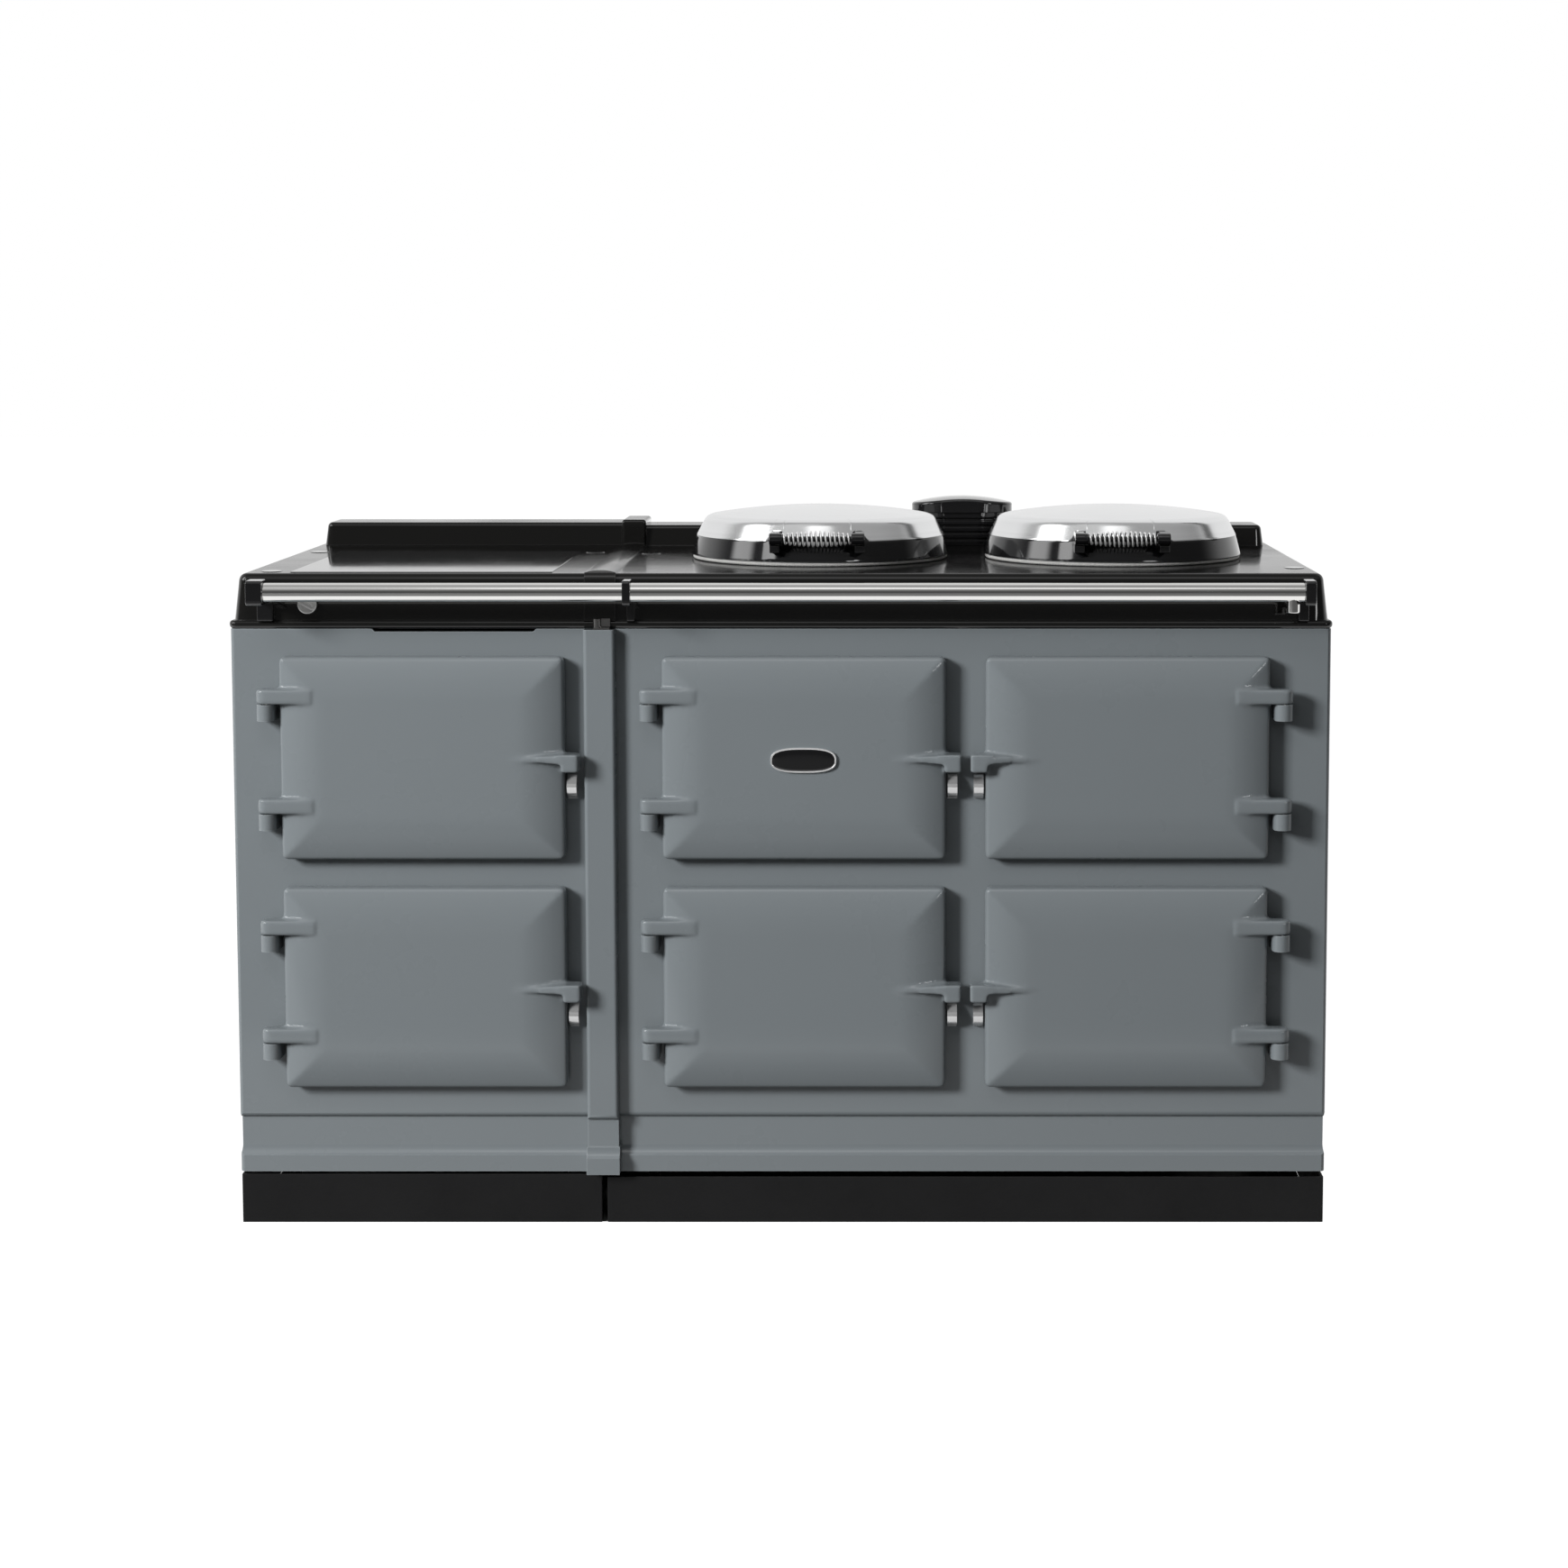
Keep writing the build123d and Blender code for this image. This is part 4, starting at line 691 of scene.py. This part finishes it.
def bevel_edges(piece, width, angle):
    """A live bevel on every edge that turns by more than an angle."""
    bevel = piece.modifiers.new("ease", "BEVEL")
    bevel.width = width
    bevel.segments = EASE_SEGMENTS
    bevel.limit_method = "ANGLE"
    bevel.angle_limit = math.radians(angle)
    return bevel


def eased_copy(node, material, slot, width):
    """A CAD node's form with its sharp edges eased, standing for the node."""
    piece = welded_copy(node, f"{node}_finished")
    bevel = bevel_edges(piece, width, EASE_ANGLE)
    bevel.use_clamp_overlap = True
    bevel.miter_outer = "MITER_ARC"
    bake_modifiers(piece)
    smooth_by_angle(piece, EASE_ANGLE)
    even = piece.modifiers.new("even", "WEIGHTED_NORMAL")
    even.keep_sharp = True
    even.weight = EASE_WEIGHT
    bake_modifiers(piece)
    set_material(piece.data, material)
    return place_piece(piece, body_of_node(node), slot, node)


def cast_copy(node, material, slot, voxel, passes):
    """A CAD node's form as a casting: its junctions filled and its edges rounded."""
    piece = welded_copy(node, f"{node}_cast")
    remesh = piece.modifiers.new("cast", "REMESH")
    remesh.mode = "VOXEL"
    remesh.voxel_size = voxel
    remesh.use_smooth_shade = True
    soften = piece.modifiers.new("soften", "SMOOTH")
    soften.factor = SMOOTHING_FACTOR
    soften.iterations = passes
    bake_modifiers(piece)
    smooth_faces(piece.data)
    set_material(piece.data, material)
    return place_piece(piece, body_of_node(node), slot, node)


def mesh_piece(name, points, faces, material):
    """A smooth mesh object from points and faces."""
    mesh = bpy.data.meshes.new(name)
    mesh.from_pydata(points, [], faces)
    mesh.update()
    smooth_faces(mesh)
    mesh.materials.append(material)
    return new_object(name, mesh)


def bridge_rings(rings, closed=False):
    """Points and faces through closed rings of equal length, with their ends closed if asked."""
    count = len(rings[0])
    points = [point for ring in rings for point in ring]
    faces = []
    for row in range(len(rings) - 1):
        for step in range(count):
            after = (step + 1) % count
            base = row * count
            faces.append((base + step, base + after, base + count + after, base + count + step))
    if closed:
        faces.append(tuple(reversed(range(count))))
        faces.append(tuple(range(len(points) - count, len(points))))
    return points, faces


# Lids


def lid_middle(name):
    """The middle of a lid, on the hob's surface."""
    low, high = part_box(f"{name}_liner")
    middle = (low + high) / 2
    return Vector((middle.x, middle.y, hob_z))


def smooth_step(value):
    value = min(1.0, max(0.0, value))
    return value * value * (3 - 2 * value)


def lid_outline():
    """The lid's outline as radius and height, from its foot to its top."""
    start = np.array([LID_SHOULDER_RADIUS, LID_SHOULDER])
    corner = np.array([LID_SHOULDER_RADIUS - LID_CORNER_IN, LID_CROWN_EDGE - LID_CORNER_DOWN])
    end = np.array([LID_CROWN_EDGE_RADIUS, LID_CROWN_EDGE])
    points = [(LID_RADIUS, LID_BOTTOM), (LID_SPLIT_RADIUS, LID_SPLIT), (LID_SHOULDER_RADIUS, LID_SHOULDER)]
    for index in range(1, LID_CORNER_STEPS + 1):
        t = index / LID_CORNER_STEPS
        points.append(tuple((1 - t) ** 2 * start + 2 * t * (1 - t) * corner + t**2 * end))
    rise = LID_APEX - LID_CROWN_EDGE
    cap = (LID_CROWN_EDGE_RADIUS**2 + rise**2) / (2 * rise)
    for index in range(1, LID_CROWN_STEPS):
        radius = LID_CROWN_EDGE_RADIUS * (1 - index / LID_CROWN_STEPS)
        points.append((radius, LID_APEX - cap + math.sqrt(cap**2 - radius**2)))
    points.append((0.0, LID_APEX))
    return np.array(points)


LID_OUTLINE = lid_outline()
LID_RUN = np.concatenate([[0], np.cumsum(np.hypot(*np.diff(LID_OUTLINE, axis=0).T))])


def outline_at(run):
    """Radius and height at a run along the lid's outline."""
    return np.interp(run, LID_RUN, LID_OUTLINE[:, 0]), np.interp(run, LID_RUN, LID_OUTLINE[:, 1])


def split_height(angle):
    """Height of the line where the black base meets the bright dome; it sweeps up to each bracket."""
    side = abs(LID_SPLIT_RADIUS * math.atan2(math.sin(angle), math.cos(angle))) - EAR_PLACE
    if side > 0:
        climb = max(0.0, (EAR_HALF_WIDTH + EAR_RUN - side) / EAR_RUN)
        climb = min(1.0, climb) ** EAR_SWEEP
    else:
        climb = smooth_step((EAR_HALF_WIDTH + EAR_INNER_RUN + side) / EAR_INNER_RUN)
    return LID_SPLIT + EAR_RISE * climb


def lid_angles():
    """Angles round the lid, closer together where the split line climbs to the brackets."""
    reach = EAR_HALF_WIDTH + EAR_RUN
    low = math.degrees((EAR_PLACE - reach) / LID_SPLIT_RADIUS)
    high = math.degrees((EAR_PLACE + reach) / LID_SPLIT_RADIUS)
    angle = -180.0
    angles = []
    while angle < 180 - 0.01:
        angles.append(math.radians(angle))
        angle += EAR_STEP if low - LID_STEP < abs(angle) < high + EAR_STEP else LID_STEP
    return angles


def lid_ring_point(middle, radius, height, angle):
    """A point on the lid; angle 0 is at the front."""
    return (middle.x + radius * math.sin(angle), middle.y - radius * math.cos(angle), middle.z + height)


def lid_shell(name, middle, lower, material, proud):
    """The base below the split line or the dome above it, as one turned skin with a wall."""
    angles = lid_angles()
    splits = [float(np.interp(split_height(angle), LID_OUTLINE[:, 1], LID_RUN)) for angle in angles]
    rows = BAND_ROWS if lower else DOME_ROWS
    rings = []
    for row in range(rows + 1):
        share = row / rows
        ring = []
        for angle, split_run in zip(angles, splits):
            if lower:
                run = split_run * share
            else:
                run = split_run + (LID_RUN[-1] - split_run) * min(share**DOME_SPREAD, DOME_LAST_SHARE)
            radius, height = outline_at(run)
            ring.append(lid_ring_point(middle, radius + proud, height, angle))
        rings.append(ring)
    points, faces = bridge_rings(rings)
    if not lower:
        points.append((middle.x, middle.y, middle.z + LID_APEX))
        last = rows * len(angles)
        for step in range(len(angles)):
            after = (step + 1) % len(angles)
            faces.append((last + step, last + after, len(points) - 1))
    piece = mesh_piece(name, points, faces, material)
    wall = piece.modifiers.new("wall", "SOLIDIFY")
    wall.thickness = LID_WALL
    wall.offset = -1
    bevel_edges(piece, LID_EDGE, LID_CREASE)
    bake_modifiers(piece)
    smooth_by_angle(piece, LID_CREASE)
    return piece


def sink_band(piece, middle):
    """Draws the base casting's band in a little, so that the finished band lies over it."""
    for vertex in piece.data.vertices:
        out = Vector((vertex.co.x - middle.x, vertex.co.y - middle.y, 0))
        hinge = out.y > 0 and abs(out.x) < KNUCKLE_HALF
        above = vertex.co.z > middle.z + LID_BOTTOM + LID_WALL
        if out.length > LID_SHOULDER_RADIUS and not hinge and above:
            vertex.co -= out.normalized() * BAND_SINK


def growing_tree(name, sizes):
    """A geometry node tree with named sizes, a middle and a material."""
    inputs = {**sizes, "Middle": "NodeSocketVector", "Material": "NodeSocketMaterial"}
    return new_tree(name, "GeometryNodeTree", inputs, {"Geometry": "NodeSocketGeometry"})


def wire_along(tree, entry, leave, curve, places, wire_size, sides, capped):
    """Moves a curve's points to their places round the middle and gives it a round wire."""
    spot = tree.nodes.new("ShaderNodeCombineXYZ")
    for index, place in enumerate(places):
        tree.links.new(place, spot.inputs[index])
    moved = tree.nodes.new("ShaderNodeVectorMath")
    setter = tree.nodes.new("GeometryNodeSetPosition")
    ring = add(tree, "GeometryNodeCurvePrimitiveCircle", Resolution=sides)
    tube = tree.nodes.new("GeometryNodeCurveToMesh")
    tube.inputs["Fill Caps"].default_value = capped
    shade = tree.nodes.new("GeometryNodeSetShadeSmooth")
    whole = tree.nodes.new("GeometryNodeRealizeInstances")
    skin = tree.nodes.new("GeometryNodeSetMaterial")
    link_all(
        tree,
        (spot.outputs[0], moved.inputs[0]),
        (entry.outputs["Middle"], moved.inputs[1]),
        (curve, setter.inputs["Geometry"]),
        (moved.outputs[0], setter.inputs["Position"]),
        (setter.outputs[0], tube.inputs["Curve"]),
        (entry.outputs[wire_size], ring.inputs["Radius"]),
        (ring.outputs[0], tube.inputs["Profile Curve"]),
        (tube.outputs[0], shade.inputs["Geometry"]),
        (shade.outputs[0], whole.inputs["Geometry"]),
        (whole.outputs[0], skin.inputs["Geometry"]),
        (entry.outputs["Material"], skin.inputs["Material"]),
        (skin.outputs[0], leave.inputs["Geometry"]),
    )


def coil_tree():
    """A barrel-shaped coil along X as a geometry node tree."""
    sizes = {
        "Length": 0.09,
        "Turns": float(COIL_TURNS),
        "End Radius": COIL_END_RADIUS,
        "Middle Radius": COIL_MIDDLE_RADIUS,
        "Wire Radius": COIL_WIRE,
    }
    tree, entry, leave = growing_tree("barrel coil", sizes)
    line = tree.nodes.new("GeometryNodeCurvePrimitiveLine")
    spread = tree.nodes.new("GeometryNodeResampleCurve")
    spread.inputs["Count"].default_value = COIL_TURNS * COIL_TURN_STEPS + 1
    tree.links.new(line.outputs[0], spread.inputs["Curve"])
    share = tree.nodes.new("GeometryNodeSplineParameter").outputs["Factor"]
    turned = product(tree, share, entry.outputs["Turns"], 2 * math.pi)
    swell = math_node(tree, "SINE", product(tree, share, math.pi))
    gain = math_node(tree, "SUBTRACT", entry.outputs["Middle Radius"], entry.outputs["End Radius"])
    radius = math_node(tree, "ADD", entry.outputs["End Radius"], product(tree, gain, swell))
    places = (
        product(tree, math_node(tree, "SUBTRACT", share, 0.5), entry.outputs["Length"]),
        product(tree, radius, math_node(tree, "COSINE", turned)),
        product(tree, radius, math_node(tree, "SINE", turned)),
    )
    wire_along(tree, entry, leave, spread.outputs[0], places, "Wire Radius", COIL_WIRE_SIDES, True)
    return tree


def rope_tree():
    """A laid rope ring, one strand wound round it for each of the rope's, as a geometry node tree."""
    sizes = {
        "Ring Radius": LID_RADIUS - ROPE_INSET,
        "Lay Radius": ROPE_LAY_RADIUS,
        "Strand Radius": ROPE_STRAND_RADIUS,
    }
    tree, entry, leave = growing_tree("rope ring", sizes)
    circle = add(tree, "GeometryNodeCurvePrimitiveCircle", Resolution=ROPE_STEPS)
    share = tree.nodes.new("GeometryNodeSplineParameter").outputs["Factor"]
    around = product(tree, share, 2 * math.pi * ROPE_STRANDS)
    lay = product(tree, share, 2 * math.pi * ROPE_LAYS)
    out = product(tree, entry.outputs["Lay Radius"], math_node(tree, "COSINE", lay))
    up = product(tree, entry.outputs["Lay Radius"], math_node(tree, "SINE", lay))
    reach = math_node(tree, "ADD", entry.outputs["Ring Radius"], out)
    places = (
        product(tree, reach, math_node(tree, "COSINE", around)),
        product(tree, reach, math_node(tree, "SINE", around)),
        up,
    )
    wire_along(tree, entry, leave, circle.outputs[0], places, "Strand Radius", ROPE_SIDES, False)
    return tree


def grown(name, tree, values):
    """A plain mesh grown by a geometry node tree with these input values."""
    piece = new_object(name, bpy.data.meshes.new(name))
    modifier = piece.modifiers.new("grow", "NODES")
    modifier.node_group = tree
    for item in tree.interface.items_tree:
        if item.in_out == "INPUT" and item.name in values:
            modifier[item.identifier] = values[item.name]
    return bake_modifiers(piece)


def make_lids():
    """Domes, bands, bases, handles, liners and coils of both lids."""
    coil = coil_tree()
    for name in LIDS:
        middle = lid_middle(name)
        dome_metal = spun_metal(
            f"{name}_spun_chrome",
            middle,
            colour=(0.86, 0.865, 0.87),
            low=0.14,
            high=0.22,
            scale=260.0,
            depth=0.02 * MM,
        )
        dome = lid_shell(f"{name}_dome_skin", middle, False, dome_metal, 0.0)
        place_piece(dome, name, "chrome", f"{name}_dome")
        band = lid_shell(f"{name}_band_skin", middle, True, BLACK, BAND_PROUD)
        place_piece(band, name, "black_enamel")
        sink_band(eased_copy(f"{name}_base", BLACK, "black_enamel", 0.6 * MM), middle)
        cast_copy(f"{name}_handle", BLACK, "black_enamel", FITTING_VOXEL, FITTING_SMOOTHING)
        eased_copy(f"{name}_liner", LINER, "liner_steel", 1.0 * MM)
        low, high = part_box(f"{name}_coil")
        values = {
            "Length": high.x - low.x,
            "Turns": float(COIL_TURNS),
            "End Radius": COIL_END_RADIUS,
            "Middle Radius": COIL_MIDDLE_RADIUS,
            "Wire Radius": COIL_WIRE,
            "Middle": (middle.x, middle.y - HANDLE_REACH, middle.z + HANDLE_HEIGHT),
            "Material": FITTING,
        }
        spring = grown(f"{name}_spring", coil, values)
        place_piece(spring, name, "chrome", f"{name}_coil")


def make_seals():
    """A rope ring under each lid; the first stands for the node that holds both."""
    rope = rope_tree()
    low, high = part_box("lid_seals")
    rings = []
    for name in LIDS:
        middle = lid_middle(name)
        values = {
            "Ring Radius": LID_RADIUS - ROPE_INSET,
            "Lay Radius": ROPE_LAY_RADIUS,
            "Strand Radius": ROPE_STRAND_RADIUS,
            "Middle": (middle.x, middle.y, (low.z + high.z) / 2),
            "Material": ROPE,
        }
        rings.append(grown(f"{name}_rope", rope, values))
    place_piece(rings[0], "body", "rope", "lid_seals")
    place_piece(rings[1], "body", "rope")


# Doors and the plaque


def make_doors():
    """Door castings and the sheet liners behind them."""
    for name in DOORS:
        cast_copy(f"{name}_door", SLATE, "enamel", DOOR_VOXEL, DOOR_SMOOTHING)
        eased_copy(f"{name}_door_liner", LINER, "liner_steel", 1.2 * MM)


def squared(value):
    """A sine or cosine drawn out towards its ends, for a squarer oval."""
    return math.copysign(abs(value) ** PLAQUE_SQUARENESS, value)


def make_plaque():
    """A plaque of a squared oval: a bright rolled rim round a plain, slightly domed black field."""
    low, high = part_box("door_plaque")
    middle = (low + high) / 2
    half = (high - low) / 2
    depth = high.y - low.y
    angles = [2 * math.pi * step / PLAQUE_STEPS for step in range(PLAQUE_STEPS)]

    def oval_piece(name, profile, material):
        rings = []
        for inset_mm, share in profile:
            across = half.x - inset_mm * MM
            upward = half.z - inset_mm * MM
            y = high.y - share * depth
            rings.append(
                [
                    (
                        middle.x + across * squared(math.cos(angle)),
                        y,
                        middle.z + upward * squared(math.sin(angle)),
                    )
                    for angle in angles
                ]
            )
        piece = mesh_piece(name, *bridge_rings(rings, closed=True), material)
        smooth_by_angle(piece, PLAQUE_CREASE)
        return piece

    bright = oval_piece("plaque_rim", PLAQUE_RIM, FITTING)
    place_piece(bright, "centre_upper_door", "plaque", "door_plaque")
    dark = oval_piece("plaque_field", PLAQUE_FIELD, BLACK)
    place_piece(dark, "centre_upper_door", "plaque")


# Body


# Pieces with eased edges, as nodes, material, slot and width of the eased edge in mm
SHELL_PIECES = (
    (("front_panel_left", "front_panel_right", "side_panels", "joint_pilaster"), SLATE, "enamel", 1.2),
    (("top_plate_left", "top_plate_right", "joint_strip"), PLATE, "black_enamel", 0.8),
    (("upstand_left", "upstand_right"), PLATE, "black_enamel", 0.8),
    (("vent_body",), BLACK, "vent_black", 0.5),
    (("vent_cap",), BLACK, "vent_black", 1.0),
    (("plinths",), PLINTH, "plinth_black", 0.6),
    (("hob_glass",), GLASS, "glass", 0.3),
    (("plate_plugs",), BLACK, "black_enamel", 0.3),
    (("rails",), STEEL, "brushed_steel", 0.5),
)
FITTINGS = (
    (("joint_clip",), CLIP, "brushed_steel", 0.4),
    (("door_catches",), CATCH, "chrome", 0.4),
    (("hob_switch",), KNOB, "brushed_steel", 0.5),
    (("control_knob_1", "control_knob_2", "control_knob_3"), PLASTIC, "knob_plastic", 0.8),
)


def ease_pieces(rows):
    """Eases every node of a table like the two above."""
    for nodes, material, slot, width_mm in rows:
        for node in nodes:
            eased_copy(node, material, slot, width_mm * MM)


def make_body():
    """All that stands still and shows."""
    ease_pieces(SHELL_PIECES)
    cast_copy("rail_brackets", BLACK, "black_enamel", FITTING_VOXEL, FITTING_SMOOTHING)
    ease_pieces(FITTINGS)


# Nodes inside and below whose CAD shape is right and only needs its finish
INSIDE_FINISHES = {
    "control_compartment": OVEN,
    "grid_shelves": LINER,
    "heating_elements": HEATER,
    "insulation": WOOL,
    "hinge_pins": STEEL,
    "levelling_feet": PLINTH,
    "base_plates": PLINTH,
    "back_panels": ZINC,
}


def make_inside():
    """The hotplates, and the finishes behind the doors, at the back and below."""
    iron = cast_iron_material("machined_iron", [lid_middle(name) for name in LIDS])
    eased_copy("hotplates", iron, "cast_iron", 0.8 * MM)
    ovens = {f"{name}_oven": OVEN for name in DOORS if name != "centre_upper"}
    for node, material in {**ovens, **INSIDE_FINISHES}.items():
        set_material(frame["nodes"][node].data, material)


# Floor, light and camera


def make_stage():
    """A white floor, left dark under the cooker as painted shade where no light comes."""
    mesh = bpy.data.meshes.new("floor")
    signs = ((-1, -1), (1, -1), (1, 1), (-1, 1))
    corners = [(across * FLOOR_REACH, along * FLOOR_REACH, 0) for across, along in signs]
    mesh.from_pydata(corners, [], [(0, 1, 2, 3)])
    floor = new_object("floor", mesh)
    material = bpy.data.materials.new("studio_floor")
    material.use_nodes = True
    tree = material.node_tree
    tree.nodes.clear()
    matt = add(tree, "ShaderNodeBsdfDiffuse", Color=FLOOR_COLOUR)
    glow = tree.nodes.new("ShaderNodeEmission")
    path = tree.nodes.new("ShaderNodeLightPath")
    parts = axes_of(tree, own_place(tree))
    far_y, near_y = face_y - FLOOR_FAR_PLACE, face_y - FLOOR_NEAR_PLACE
    nearness = ramp(tree, parts[1], far_y, near_y, FLOOR_FAR_MIRRORED, FLOOR_MIRRORED)
    mirrored = product(tree, path.outputs["Is Glossy Ray"], nearness)
    # Painted shade: no glow inside the plinths, so the floor under the cooker stays dark
    low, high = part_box("plinths")
    inside = []
    for output, start, end in ((parts[0], low.x, high.x), (parts[1], low.y, high.y)):
        off = math_node(tree, "ABSOLUTE", math_node(tree, "SUBTRACT", output, (start + end) / 2))
        inside.append(math_node(tree, "LESS_THAN", off, (end - start) / 2 - FLOOR_DARK_INSET))
    open_floor = math_node(tree, "SUBTRACT", 1.0, product(tree, *inside))
    shown = math_node(tree, "ADD", path.outputs["Is Camera Ray"], mirrored)
    both = tree.nodes.new("ShaderNodeAddShader")
    out = tree.nodes.new("ShaderNodeOutputMaterial")
    link_all(
        tree,
        (product(tree, shown, open_floor), glow.inputs["Strength"]),
        (matt.outputs[0], both.inputs[0]),
        (glow.outputs[0], both.inputs[1]),
        (both.outputs[0], out.inputs["Surface"]),
    )
    mesh.materials.append(material)


def card(tree, direction, azimuth, half_width, low, high, soft):
    """Mask of an upright panel in the studio; azimuth in degrees, 0 in front and 90 at the right."""
    turn = math.radians(azimuth)
    sideways = add(tree, "ShaderNodeVectorMath", operation="DOT_PRODUCT")
    sideways.inputs[1].default_value = (math.cos(turn), math.sin(turn), 0)
    forward = add(tree, "ShaderNodeVectorMath", operation="DOT_PRODUCT")
    forward.inputs[1].default_value = (math.sin(turn), -math.cos(turn), 0)
    for node in (sideways, forward):
        tree.links.new(direction, node.inputs[0])
    ahead = forward.outputs["Value"]
    off = math_node(tree, "ABSOLUTE", math_node(tree, "DIVIDE", sideways.outputs["Value"], ahead))
    half = math.tan(math.radians(half_width))
    across = ramp(tree, off, half, half + soft, 1, 0)
    facing = math_node(tree, "GREATER_THAN", ahead, 0.0)
    height = axes_of(tree, direction)[2]
    bottom, top = math.sin(math.radians(low)), math.sin(math.radians(high))
    above = ramp(tree, height, bottom, bottom + soft, 0, 1)
    below = ramp(tree, height, top, top + soft, 1, 0)
    return product(tree, across, facing, product(tree, above, below))


def make_world():
    """White where it is seen; to the object, white behind, grey above and dim in front, with panels."""
    world = bpy.data.worlds.new("studio")
    bpy.context.scene.world = world
    world.use_nodes = True
    tree = world.node_tree
    tree.nodes.clear()
    path = tree.nodes.new("ShaderNodeLightPath")
    direction = tree.nodes.new("ShaderNodeTexCoord").outputs["Generated"]
    parts = axes_of(tree, direction)
    brightest = math_node(tree, "MAXIMUM", ramp(tree, parts[1], *BEHIND), ramp(tree, parts[2], *OVERHEAD))
    mirrored = math_node(tree, "ADD", brightest, DIM_FRONT)
    for *place, level in PANELS:
        change = product(tree, card(tree, direction, *place), level)
        if level > 0:
            mirrored = math_node(tree, "ADD", mirrored, change)
        else:
            mirrored = product(tree, mirrored, math_node(tree, "ADD", 1.0, change))
    is_glossy, is_transmitted = path.outputs["Is Glossy Ray"], path.outputs["Is Transmission Ray"]
    reflected = math_node(tree, "MAXIMUM", is_glossy, is_transmitted)
    soft_light = product(tree, math_node(tree, "SUBTRACT", 1.0, reflected), AMBIENT)
    indirect = math_node(tree, "ADD", product(tree, reflected, mirrored), soft_light)
    camera_ray = path.outputs["Is Camera Ray"]
    away = product(tree, math_node(tree, "SUBTRACT", 1.0, camera_ray), indirect)
    light = add(tree, "ShaderNodeBackground", Color=(1, 1, 1, 1))
    tree.links.new(math_node(tree, "ADD", camera_ray, away), light.inputs["Strength"])
    out = tree.nodes.new("ShaderNodeOutputWorld")
    tree.links.new(light.outputs[0], out.inputs["Surface"])


def make_lights():
    """Area lamps that light the object but don't show in what it mirrors."""
    for name, place, target, width, height, power in LAMPS:
        data = bpy.data.lights.new(name, "AREA")
        data.shape = "RECTANGLE"
        data.size = width
        data.size_y = height
        data.energy = power
        lamp = new_object(name, data)
        lamp.location = place
        lamp.rotation_euler = (Vector(target) - Vector(place)).to_track_quat("-Z", "Y").to_euler()
        lamp.visible_glossy = False


def make_camera():
    """The photograph's camera; the shift puts the cooker where the picture has it."""
    data = bpy.data.cameras.new("photograph")
    data.sensor_width = CAMERA_SENSOR
    data.lens = CAMERA_LENS
    data.shift_x, data.shift_y = CAMERA_SHIFT
    data.clip_end = CAMERA_REACH
    camera = new_object("photograph", data)
    camera.location = (CAMERA_RIGHT, face_y - CAMERA_BACK, CAMERA_HEIGHT)
    camera.rotation_euler = (math.radians(90 - CAMERA_DIP), 0, 0)
    bpy.context.scene.camera = camera


make_camera()
make_stage()
make_world()
make_lights()
make_body()
make_inside()
make_doors()
make_plaque()
make_lids()
make_seals()
bpy.context.scene.view_settings.view_transform = "Standard"
